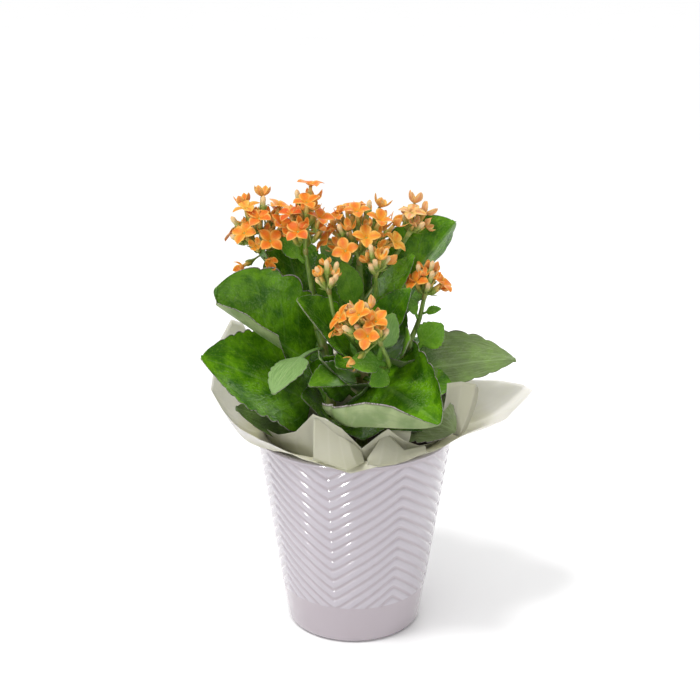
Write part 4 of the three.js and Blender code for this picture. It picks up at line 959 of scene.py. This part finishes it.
def paper_flare(creases, inset, lift, seed):
    """The points and paint of a wrap's flare: straight runs from the mouth to the cut edge that sag as a
    parabola. Between two creases the edge runs straight and the paper bellies out a little, with ripples all
    over."""
    azimuth, radius, height, sag = vec(creases).T
    count = len(creases)
    draw = np.random.default_rng(seed)
    belly = draw.uniform(-PAPER_BELLY, PAPER_BELLY, count)
    pleat = np.where(np.arange(count) % 2, 1, -1) * draw.uniform(*PAPER_PLEAT, count)
    mouth_radius = POT_TOP_RADIUS - POT_WALL - inset * MOUTH_INSET
    mouth = polar(evenly_round(count, VALLEY_AT), mouth_radius, POT_HEIGHT + lift)
    t = np.linspace(0, 1, PAPER_ROWS)[:, None]
    lines = blend(mouth, polar(azimuth, radius, height), t[..., None])
    lines[..., 2] -= 4 * sag * t * (1 - t)

    k = np.repeat(np.arange(count), PAPER_STEPS)
    following = (k + 1) % count
    f = np.tile(np.arange(PAPER_STEPS) / PAPER_STEPS, count)
    flare = blend(lines[:, k], lines[:, following], f[:, None])
    azimuth = np.arctan2(flare[..., 1], flare[..., 0])
    outward = np.stack([np.cos(azimuth), np.sin(azimuth), np.full_like(azimuth, PAPER_DIP)], axis=-1)
    bulge = blend(belly[k], belly[following], f) * 4 * f * (1 - f) * np.sin(np.pi * t * 0.8)
    fold = blend(pleat[k], pleat[following], f) * np.sin(np.pi * np.minimum(1, t * 1.4))
    wave = ripple(flare, PAPER_RIPPLE, seed + 1) * PAPER_RIPPLE_HEIGHT * smooth(t, 0.08, 0.5)
    return flare + outward * (bulge + fold + wave)[..., None], paint_of(t, crease(f) * smooth(t, 0.05, 0.3))


def paper_flap(piece, folds, seed):
    """A loose flap: straight between two folds, and from fold to fold along straight feet and cut edges."""
    feet, tops = (vec([fold[k] for fold in folds]) for k in range(2))
    across = np.linspace(0, len(folds) - 1, (len(folds) - 1) * PAPER_STEPS + 1)
    k = np.minimum(across.astype(int), len(folds) - 2)
    f = across - k
    t = np.linspace(0, 1, FLAP_ROWS)[:, None]
    foot, top = (blend(line[k], line[k + 1], f[:, None]) for line in (feet, tops))
    grid = blend(foot, top, t[..., None])
    facing = unit(grid.mean(axis=(0, 1)) * (1, 1, 0))
    bulge = ripple(grid, FLAP_RIPPLE, seed) * FLAP_RIPPLE_HEIGHT + FLAP_BELLY * np.sin(np.pi * t)
    grid = grid + facing * bulge[..., None]
    piece.sheet(grid, paint_of(t, crease(f)))


# -------------------------------- soil and nursery pot
def soil():
    """A low mound: a wall, then rings whose height falls with the square of their radius, and ripples."""
    share = np.linspace(1, 0.02, SOIL_ROWS)
    azimuth = evenly_round(SOIL_COLUMNS)
    wall_radius, wall_z = np.array([37.5, SOIL_RADIUS - 0.5]), np.array([9.6, SOIL_TOP - 3])
    wall = polar(azimuth, wall_radius[:, None], wall_z[:, None])
    top_z = SOIL_TOP - 1 + SOIL_CROWN * (1 - share**2)
    top = polar(azimuth, (SOIL_RADIUS * share)[:, None], top_z[:, None])
    top[..., 2] += sum(ripple(top, size, seed) * height for size, seed, height in SOIL_RIPPLES)
    piece = Piece("soil_mound")
    piece.loft(np.concatenate([wall, top]), paint_of(0.0))
    piece.finish([SOIL], "soil", "soil")


def nursery_rim():
    """The rolled lip of the nursery pot: a rounded band turned round the axis."""
    t = TURN * np.arange(LIP_SIDES) / LIP_SIDES
    radius = NURSERY_LIP_RADIUS - LIP_INSET + LIP_HALF_WIDTH * np.cos(t)
    z = NURSERY_TOP - LIP_DROP + LIP_HALF_HEIGHT * np.sign(np.sin(t)) * np.abs(np.sin(t)) ** LIP_SQUARENESS
    ring = polar(evenly_round(LIP_COLUMNS)[:, None], radius, z)
    i = np.arange(LIP_COLUMNS)[:, None] * LIP_SIDES
    j = np.arange(LIP_SIDES)
    onward, across = (i + LIP_SIDES) % (LIP_COLUMNS * LIP_SIDES), (j + 1) % LIP_SIDES
    piece = Piece("nursery_rim")
    piece.add(ring, [facets(i + j, onward + j, onward + across, i + across)], paint_of(0.0))
    piece.finish([NURSERY_PLASTIC], "nursery_plastic")


# -------------------------------- stems
for stem in STEMS.values():
    for carrier in (stem, *stem["stalks"]):
        carrier["path"] = Path(carrier["points"])


def stem_body(name, stem):
    """A stem and its flower stalks: tubes that narrow evenly and swell a little where leaves leave them."""
    piece = Piece(f"stem_{name}_grown")
    joints = [one["z"] for one in BROAD_LEAVES + LEAVES + YOUNG_LEAVES if one.get("on") == name]
    share = np.linspace(0, 1, STEM_ROWS)
    points = stem["path"].at(share)
    height = points[:, 2]
    near = sum(bell(height - z, JOINT_SPREAD) for z in joints)
    radii = blend(stem["foot"], stem["tip"], share) * (1 + JOINT_SWELL * near)
    piece.tube(points, radii, 18, paint_of(np.clip(near, 0, 1), smooth(height, *STEM_TURNS_GREEN)))
    share = np.linspace(0, 1, STALK_ROWS)
    for side in stem["stalks"]:
        radii = side["radius"] * (blend(STALK_SWELL, 1, share) + 0.5 * np.exp(-share * 14))
        piece.tube(side["path"].at(share), radii, 12, paint_of(np.exp(-share * 9), 1.0))
    piece.finish([STEM], "stem", f"stem_{name}")


# -------------------------------- leaves
def leaf_foot(one):
    """Where a leaf leaves the skin of its stem, on the side towards its tip."""
    if "from" in one:
        return vec(one["from"])
    stem = STEMS[one["on"]]
    share = stem["path"].share_at_height(one["z"])
    axis = stem["path"].at(share)
    radius = blend(stem["foot"], stem["tip"], share)
    away = vec(one["tip"]) - axis
    outward = unit(away * (1, 1, 0))
    steepness = unit(away)[2]
    return axis + outward * (radius + CLEARANCE + PETIOLE_THICKNESS / 2 * abs(steepness) + STEM_FLATS)


class Lie:
    """Where a leaf lies: its midrib, bowed between foot and tip, and its halves, from midrib to margin."""

    def __init__(self, one):
        broad = "left" in one
        self.breadth = one.get("width", USUAL_BREADTH)
        self.large = broad or self.breadth > LARGE_WIDTH
        self.petiole = one.get("petiole", PETIOLE_SHARE)
        self.stalk_half = min(PETIOLE_WIDTH, self.breadth / 4) / 2
        self.full = np.broadcast_to(one.get("full", USUAL_FULL), 2)
        self.taper = np.broadcast_to(one.get("taper", USUAL_TAPER), 2)
        self.upturn = one.get("upturn", (0, 0))
        self.start, self.tip = leaf_foot(one), vec(one["tip"])
        span = self.tip - self.start
        across = vec(one["right"]) - vec(one["left"]) if broad else np.cross(span, vec(one["face"]))
        self.face = unit(np.cross(across, span))
        self.side = unit(across)
        self.control = (self.start + self.tip) / 2 + self.face * 2 * one["arch"]
        if broad:
            fullest = self.petiole + (1 - self.petiole) * self.full[:, None]
            self.halves = vec([one["left"], one["right"]]) - self.midrib(fullest)
        else:
            fold = math.radians(one["fold"])
            rise, level = self.face * math.sin(fold), self.side * math.cos(fold)
            self.halves = np.stack([rise - level, rise + level]) * self.breadth / 2

    def midrib(self, t):
        """Points of the midrib, a quadratic curve from foot to tip."""
        return (1 - t) ** 2 * self.start + 2 * t * (1 - t) * self.control + t**2 * self.tip


def teeth(one, u, out, right, seed, draw):
    """The share of a leaf's width that is left between its notches, which are deeper towards the margin."""
    phase = one.get("teeth", USUAL_TEETH) * u + NOTCH_WANDER * np.sin(9 * u + draw.uniform(0, TURN))
    phase = phase + np.where(right, 0.0, draw.uniform(0, 1))
    notch = 1 - np.abs(np.sin(np.pi * phase)) ** TOOTH_ROUNDING
    depth = NOTCH_DEPTH + NOTCH_DEPTH_SPREAD * np.sin(5 * u + seed)
    depth = depth * smooth(u, NOTCHES_FROM, NOTCHES_FROM + 0.15) * (1 - u**8)
    return 1 - depth * notch * out**5


def turned_up(upturn, out, room):
    """How a margin runs that leaves a half of width room as an arc of length upturn: its share of the way
    out, the angle it has turned through and how high it has come."""
    bend = upturn / UPTURN_ARC
    kept = np.clip(1 - UPTURN_SPREAD * upturn / room, LEAST_KEPT, 1)
    angle = UPTURN_ARC * np.clip((out - kept) / np.maximum(1 - kept, TINY), 0, 1) * (upturn > 0)
    lateral = np.minimum(out / kept, 1) * (1 - np.minimum(bend / room, 0.5)) + bend / room * np.sin(angle)
    return lateral, angle, bend * (1 - np.cos(angle))


def skin_relief(lie, u, v, over, reach, size, opened):
    """How far the skin lies over or under a leaf's middle: half a lens, with a trough along the midrib."""
    out = np.abs(v)
    stalk_thick = min(PETIOLE_THICKNESS, lie.stalk_half * 1.5)
    blade_thick = min(LEAF_THICKNESS, lie.breadth / 9)
    lens = np.sqrt(np.clip(1 - out ** blend(*LENS_POWERS, opened), 0, 1))
    thick = blend(stalk_thick, blade_thick, opened) * blend(1, MARGIN_THICKNESS, out * opened) * lens
    vein = bell(v * size * reach, VEIN_HALF_WIDTH) * opened * (1 - u)
    return over * thick / 2 - vein * np.where(over > 0, *VEIN_DEPTHS)


def leaf_body(one, seed, finish, slot, stands_for_solid=True):
    """A leaf as a loft of lens-shaped sections along a bowed midrib.

    Each half width along the blade is sin(pi u^k)^taper, with k set so that it is fullest at full. Each half
    rises from the midrib to its margin, sinks between them, and ripples; the margin is cut into rounded
    teeth.
    """
    lie = Lie(one)
    draw = np.random.default_rng(seed)
    rows, columns = LARGE_GRID if lie.large else SMALL_GRID
    # t runs along the whole leaf, u along its blade only and v across it, from -1 to 1.
    t = np.linspace(0, 1, rows)[:, None, None]
    u = np.clip((t - lie.petiole) / (1 - lie.petiole), 0, 1)
    v, over = there_and_back(np.sin(np.linspace(-1, 1, columns + 1) * math.pi / 2))
    out, right = np.abs(v), v > 0
    sign = np.where(right, 1, -1)
    full, taper, half, upturn = (
        np.where(right, pair[1], pair[0]) for pair in (lie.full, lie.taper, lie.halves, lie.upturn)
    )
    size = np.linalg.norm(half, axis=-1, keepdims=True)
    skewed = np.minimum(u, LEAF_TIP_AT) ** (math.log(0.5) / np.log(full))
    reach = np.where(u > 0, np.sin(np.pi * skewed) ** taper, 0)
    opened = np.clip(u / OPEN_AFTER, 0, 1)

    upturn = upturn * np.sin(np.pi * u**UPTURN_ONWARD) ** UPTURN_FULLNESS
    lateral, angle, curled = turned_up(upturn, out, size * np.maximum(reach, 1e-3))
    width = np.maximum(reach, lie.stalk_half / size) * teeth(one, u, out, right, seed, draw)
    flat = lie.side * sign * size
    stretch = (flat * lateral + (half - flat) * opened * lateral**TROUGH_POWER) * width

    step = 1e-3
    along = unit(lie.midrib(t + step) - lie.midrib(t - step))
    own = unit(np.cross(half, along) * sign)
    normal = unit(blend(lie.face, own, smooth(out, 0, 0.3) * opened))
    sink = one.get("sink", BLADE_SINK) * size * reach * np.sin(np.pi * out) * opened
    waves = np.sin(TURN * (WAVES * u + draw.uniform(0, 1)) + sign * WAVE_SHIFT)
    waves = waves * WAVE_HEIGHT * size * reach * out**3 * opened
    quilt = ripple(lie.midrib(t) + stretch, QUILT_SIZE, seed)[..., None] * QUILT_HEIGHT * opened * reach
    beyond = one.get("blunt", 0) * u**8 * np.minimum(reach / BLUNT_FROM, 1) * np.sin(BLUNT_ARC * out)
    skin = normal * np.cos(angle) - unit(half) * np.sin(angle)
    rings = lie.midrib(t) + stretch + along * beyond + normal * (waves - sink + quilt + curled)
    rings = rings + skin * skin_relief(lie, u, v, over, reach, size, opened)
    rings[0] -= along[0] * PETIOLE_ROOT * min(1, lie.breadth / 20)

    piece = Piece(f"{one['name']}_grown", one.get("pale", 0))
    piece.loft(rings, paint_of(v, t, (1 - over) / 2)[..., 0, :])
    piece.finish([finish], slot, *([one["name"]] if stands_for_solid else []))


# -------------------------------- flowers
PETAL_LENGTH = 9
PETAL_HALF_WIDTH = 3.3
PETAL_FOOT = 0.85
PETAL_POINT = 0.8
PETAL_WIDEST = PETAL_FOOT / (PETAL_FOOT + PETAL_POINT)
PETAL_NORM = PETAL_WIDEST**PETAL_FOOT * (1 - PETAL_WIDEST) ** PETAL_POINT
PETAL_THICKNESS = 0.4
PETAL_ROWS = 9
PETAL_LINES = np.array([-1, -0.86, -0.45, 0, 0.45, 0.86, 1])
# Shares of a length and radii there.
TUBE = vec([(0, 1.0), (0.15, 1.5), (0.35, 1.55), (0.7, 1.15), (1, 0.95)])
BUD = vec([(0, 0.45), (0.08, 0.75), (0.22, 0.92), (0.42, 0.85), (0.6, 0.9), (0.76, 1), (0.88, 0.78),
           (0.96, 0.4), (1, 0.08)])
PEDICEL_RADII = np.array([0.75, 0.6, 0.55, 0.52, 0.52, 0.55, 0.65, 1.0, 1.25])
SEPAL_LENGTH = 4.2
BUD_SEPAL_LENGTH = 4.4
SEPAL_HALF_WIDTH = 0.95
SEPAL_LEAN = (18, 34)
FORK_SIZE = 0.85
FILLERS = 1.1  # small flowers deep in a head for each flower of its dome
FILLER_REACH = (0.62, 0.92)
FILLER_SIZE = (0.6, 0.9)
LOW_TUBE = 7  # of a flower that hangs below the dome
LOW_SIZE = 0.8
# How far a flower's colour may lie along its head's range.
LOW_RIPENESS = (0, 0.6)
HALF_OPEN_RIPENESS = (0, 0.45)
OPEN_RIPENESS = (0.15, 1)


def petals(piece, centre, axis, lean, turn, tint, size, draw):
    """Four petals, pointed ovals: a to a power times 1 - a to a power wide, bowed back, hollow across."""
    spread = np.clip((math.degrees(lean) - HALF_OPEN_LEAN) / (OPEN_LEAN - HALF_OPEN_LEAN), 0, 1)
    a = np.linspace(0, 1, PETAL_ROWS)[:, None, None]
    v, over = there_and_back(PETAL_LINES)
    oval = PETAL_HALF_WIDTH * a**PETAL_FOOT * (1 - a) ** PETAL_POINT / PETAL_NORM
    half = size * blend(0.75, 1, spread) * (oval + 0.45 * (1 - a) + 0.05)
    bow = blend(-1.3 * np.sin(np.pi * a), 1.1 * np.sin(np.pi * a * 0.95) - 0.6 * a**2, spread)
    thick = PETAL_THICKNESS * np.sqrt(np.clip(1 - np.abs(v) ** 5, 0, 1)) * blend(1, 0.6, a)
    paint = paint_of(0.06 + 0.94 * a, tint, np.abs(v) + 1 - over)[..., 0, :]
    for k in range(4):
        own_lean = lean + math.radians(draw.normal(0, 5))
        out, level = spoke(axis, turn + TURN * k / 4 + draw.normal(0, 0.05))
        length = size * PETAL_LENGTH * draw.uniform(0.93, 1.04)
        hollow = draw.uniform(0.08, 0.22) * half * v**2
        twist = draw.normal(0, 0.12) * a * v * half
        along = out * math.sin(own_lean) + axis * math.cos(own_lean)
        upward = axis * math.sin(own_lean) - out * math.cos(own_lean)
        run = centre + along * (0.5 + (length - 0.5) * a)
        piece.loft(run + level * half * v + upward * (bow + hollow + twist + over * thick / 2), paint)


def flower(piece, sprout, calyx, centre, axis, lean, turn, tint, size, draw):
    """A flower: a swollen tube from calyx to throat, four petals, four sepals, anthers and a stalk."""
    petals(piece, centre - axis * 0.2, axis, lean, turn, tint, size, draw)
    shares, radii = TUBE.T
    points = calyx + axis * (shares * np.linalg.norm(centre - calyx))[:, None]
    piece.tube(points, radii, 8, paint_of(shares - 1, tint))
    anther = centre + axis * np.array([-0.4, 0.25, 0.5])[:, None]
    piece.tube(anther, np.array([0.9, 0.7, 0.25]), 6, paint_of(-0.55, tint))
    sepals(piece, calyx, axis, turn + math.pi / 4, SEPAL_LENGTH, draw)
    pedicel(piece, sprout, calyx, axis)


def sepals(piece, calyx, axis, turn, length, draw):
    """Four narrow pointed sepals that stand round the foot of a tube."""
    a = np.linspace(0, 1, 5)[:, None, None]
    angles = np.radians(evenly_round(6))[None, :, None]
    wide = SEPAL_HALF_WIDTH * np.sin(np.pi * np.clip(a, 0.12, 0.97)) ** 0.7
    for k in range(4):
        out, level = spoke(axis, turn + TURN * k / 4)
        lean = math.radians(draw.uniform(*SEPAL_LEAN))
        spine = calyx + out * (0.9 + length * a * math.sin(lean)) + axis * (length * a * math.cos(lean) - 0.4)
        points = spine + level * wide * np.cos(angles) + out * 0.25 * np.sin(angles) * (1 - 0.7 * a)
        piece.loft(points, paint_of(0.0, 1.0), slot=1)


def pedicel(piece, sprout, calyx, axis):
    """A thin stalk that bends from its fork into the axis of its flower and widens into the calyx."""
    gap = np.linalg.norm(calyx - sprout)
    points = grown(sprout, (calyx - sprout) * 0.6 + UP * gap * 0.3, calyx, axis * gap, len(PEDICEL_RADII))
    share = np.linspace(0, 1, len(PEDICEL_RADII))
    piece.tube(points, PEDICEL_RADII, 6, paint_of(np.exp(-share * 5), 1.0), slot=1)


def bud(piece, sprout, foot, axis, draw):
    """A stalked bud: a spindle of four folded petals, twisted and pointed at its tip."""
    shares, swell = BUD.T
    points = foot + axis * (shares * BUD_LENGTH)[:, None]
    rings = tube_rings(points, 1.0, 8) - points[:, None]
    ridge = 1 + 0.13 * np.cos(4 * (TURN * np.arange(8) / 8 + 1.2 * shares[:, None]))
    rings = points[:, None] + rings * ((BUD_RADIUS * swell)[:, None] * ridge)[..., None]
    piece.loft(rings, paint_of(2 * shares - 1, 2.0)[:, None])
    sepals(piece, foot, axis, draw.uniform(0, 1), BUD_SEPAL_LENGTH, draw)
    pedicel(piece, sprout, foot, axis)


def branches(piece, hub, rising, forks):
    """The knob at a head's hub, and from it branches that end in smaller knobs at its forks."""
    below = hub - rising * (HUB_LENGTH / 2 + CLEARANCE + 1)
    joint = below + rising * np.array([0, 1.5, 3, 4.5, 5.2])[:, None]
    piece.tube(joint, np.array([1.2, 1.5, 1.7, 1.5, 0.9]), 10, paint_of(0.8, 1.0), slot=1)
    for fork in forks:
        gap = np.linalg.norm(fork - hub)
        points = grown(hub - rising, rising * gap, fork, (fork - hub) * 0.9, 12)
        swell = 0.75 * bell(1 - np.linspace(0, 1, 12), 0.12)
        piece.tube(points, FORK_SIZE + swell, 8, paint_of(swell, 1.0), slot=1)
        knob = fork + unit(fork - hub) * np.array([-1.2, -0.4, 0.5, 1.1])[:, None]
        piece.tube(knob, np.array([1.0, 1.5, 1.3, 0.4]), 8, paint_of(0.9, 1.0), slot=1)


def dome_point(one, hub, tilt, angle, reach):
    """A point that lies at a share of the way from a head's hub to its dome, half an ellipsoid."""
    width, depth, height = one["size"]
    right, forward = one["lean"]
    x = width * math.sin(tilt) * math.cos(angle) + right
    y = depth * math.sin(tilt) * math.sin(angle) - forward
    return hub + vec((x, y, height * math.cos(tilt))) * reach


def blossom(piece, one, hub, forks, k, draw):
    """Flower or bud k of a head, on a stalk from the nearest fork. Below 0 it is a small one in the dome."""
    total, filler = one["total"], k < 0
    own = frac(k * GOLDEN_SHARE + one["draw"])
    is_bud = frac(k * BUD_SPREAD * GOLDEN_SHARE + one["draw"] * BUD_DRAW) < one["buds"] / total
    tilt = LOWEST_TILT * math.sqrt(-k / round(total * FILLERS) if filler else (k + 0.5) / total)
    reach = draw.uniform(*FILLER_REACH) if filler else BUD_REACH if is_bud else 1 - FLOWER_SCATTER * own
    size = draw.uniform(*FILLER_SIZE) if filler else 1
    centre = dome_point(one, hub, tilt, one["draw"] * START_DRAW + k * GOLDEN_ANGLE, reach)
    axis = unit(unit(centre - hub) + UP * FACE_UP)
    tube = min(FLOWER_TUBE, TUBE_SHARE * np.linalg.norm(centre - hub))
    calyx = centre - axis * (BUD_LENGTH / 2 if is_bud else tube)
    fork = min(forks or [hub], key=lambda f: np.linalg.norm(f - calyx))
    sprout = fork + unit(calyx - fork) * FORK_RADIUS * SPROUT_DEPTH
    if is_bud:
        bud(piece, sprout, calyx, axis, draw)
        return
    half_open = filler or own < one["half"] / (one["half"] + one["open"])
    lean = math.radians(HALF_OPEN_LEAN if half_open else OPEN_LEAN + LEAN_SPREAD * own)
    tint = blend(*one["tint"], draw.uniform(*(HALF_OPEN_RIPENESS if half_open else OPEN_RIPENESS)))
    flower(piece, sprout, calyx, centre, axis, lean, own * TURN_SPREAD, tint, size, draw)


def flower_head(one, path, seed):
    """A head: branches from a hub on its stalk, and on them stalked flowers and buds that fill a dome."""
    piece = Piece(f"flower_head_{one['name']}_grown")
    draw = np.random.default_rng(seed)
    rising = path.end_direction()
    hub = path.points[-1] + rising * (CLEARANCE + HUB_LENGTH / 2)
    count = 0 if one["total"] < FORKED_FROM else round(one["total"] / FLOWERS_PER_FORK)
    turns = [TURN * (one["draw"] + k / count) for k in range(count)]
    forks = [dome_point(one, hub, FORK_TILT, turn, FORK_REACH) for turn in turns]
    branches(piece, hub, rising, forks)
    for k in range(-round(one["total"] * FILLERS), one["total"]):
        blossom(piece, one, hub, forks, k, draw)
    for offset in map(vec, one["low"]):
        axis = unit(offset)
        centre = hub + offset
        tint = blend(*one["tint"], draw.uniform(*LOW_RIPENESS))
        lean, turn = math.radians(HALF_OPEN_LEAN), draw.uniform(0, TURN)
        flower(piece, hub, centre - axis * LOW_TUBE, centre, axis, lean, turn, tint, LOW_SIZE, draw)
    piece.finish([PETAL, FLOWER_STALK], "flower", f"flower_head_{one['name']}")


# -------------------------------- the plant
cover_pot()
paper_wrap("paper_outer_creased", "paper_wrap_outer", OUTER_WRAP, OUTER_INSET, OUTER_LIFT, OUTER_PAPER, 11)
paper_wrap("paper_inner_creased", "paper_wrap_inner", INNER_WRAP, INNER_INSET, INNER_LIFT, INNER_PAPER, 23,
           INNER_FLAPS)
soil()
nursery_rim()
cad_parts["nursery_pot"].data.materials.clear()
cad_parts["nursery_pot"].data.materials.append(NURSERY_PLASTIC)
for stem_name, stem in STEMS.items():
    stem_body(stem_name, stem)
for number, one in enumerate(BROAD_LEAVES + LEAVES):
    leaf_body(one, 100 + number, LEAF, "leaf")
for number, one in enumerate(YOUNG_LEAVES):
    leaf_body(one, 200 + number, YOUNG_LEAF, "young_leaf")
for number, one in enumerate(SHOOTS):
    leaf_body(one, 250 + number, LEAF, "leaf", stands_for_solid=False)
carriers = [carrier for stem in STEMS.values() for carrier in (stem, *stem["stalks"])]
for number, carrier in enumerate(carriers):
    flower_head(carrier["head"], carrier["path"], 300 + number)


# -------------------------------- studio
CAMERA_AT = (-2.46, -702.75, 396.03)
CAMERA_PITCH = 17.23
LENS = 61.71
FLOOR_HALF = 40.0
GLOW_BELOW = 0.42  # how bright the world is level with the horizon and below, against 1 overhead
GLOW_IN_GLOSS = 0.4  # how bright it is in reflections, against 1 as a light


def studio_floor():
    """A wide pale floor with a faint unevenness in its tone."""
    mesh = bpy.data.meshes.new("studio_floor")
    corners = [(x * FLOOR_HALF, y * FLOOR_HALF, 0) for x, y in ((-1, -1), (1, -1), (1, 1), (-1, 1))]
    mesh.from_pydata(corners, [], [(0, 1, 2, 3)])
    f = Finish("studio_floor")
    tone = f.noise(400, 2)
    colour = f.mix(tone, (0.92, 0.92, 0.92), (0.95, 0.95, 0.95))
    mesh.materials.append(f.surface(Base_Color=colour, Roughness=tone * 0.1 + 0.75))
    floor = add_object("studio_floor", mesh)


def soft_light(name, at, towards, size, watts, glints_only=False):
    """A rectangular soft box at a place, in metres, that shines towards a point. With glints_only it does no
    more than mirror in what is glossy."""
    light = bpy.data.lights.new(name, "AREA")
    light.shape = "RECTANGLE"
    light.size, light.size_y = size
    light.energy = watts
    box = add_object(name, light)
    box.location = at
    box.rotation_euler = (Vector(towards) - Vector(at)).to_track_quat("-Z", "Y").to_euler()
    box.visible_camera = False
    box.visible_diffuse = not glints_only


def sunlight(name, towards, strength, spread):
    """A far light in a direction, as wide as spread degrees."""
    light = bpy.data.lights.new(name, "SUN")
    light.energy = strength
    light.angle = math.radians(spread)
    sun = add_object(name, light)
    sun.rotation_euler = Vector(towards).to_track_quat("Z", "Y").to_euler()


def studio_world():
    """White all round: bright where the camera sees it, softer as a light and in reflections."""
    world = bpy.data.worlds.new("studio_world")
    bpy.context.scene.world = world
    tree = NodeTree(world)
    _, _, height = tree.split(tree.node("ShaderNodeTexCoord", {}, output="Generated"))
    rays = ("Is Glossy Ray", "Is Camera Ray")
    mirrored, seen = (tree.node("ShaderNodeLightPath", {}, output=ray) for ray in rays)
    glow = height.ranged(GLOW_BELOW, 1) * mirrored.ranged(1, GLOW_IN_GLOSS)
    tree.feed(tree.nodes["Background"], dict(Color=(1, 1, 1, 1), Strength=seen.ranged(glow, 1)))


def camera():
    """The camera that took the photo, as fitted to the pot's rim, foot and band."""
    view = bpy.data.cameras.new("camera")
    view.lens = LENS
    view.sensor_width = 36
    view.clip_start = 0.01
    holder = add_object("camera", view)
    holder.location = vec(CAMERA_AT) * MM
    holder.rotation_euler = (math.radians(90 - CAMERA_PITCH), 0, 0)
    bpy.context.scene.camera = holder


studio_floor()
studio_world()
sunlight("key_light", (-0.32, -0.22, 0.92), 1.2, 12)
soft_light("top_box", (-0.3, -0.35, 0.9), (0, 0, 0.18), (0.3, 0.3), 1.2)
soft_light("front_box", (-0.35, -1.0, 0.6), (0, 0, 0.15), (0.5, 0.4), 1.5)
soft_light("glint_box", (-0.53, -0.79, 0.26), (0, 0, 0.08), (0.08, 0.46), 6, glints_only=True)
soft_light("back_box", (0.25, 0.85, 0.62), (0, 0, 0.18), (0.6, 0.35), 2.5)
camera()
bpy.context.scene.view_settings.view_transform = "Standard"
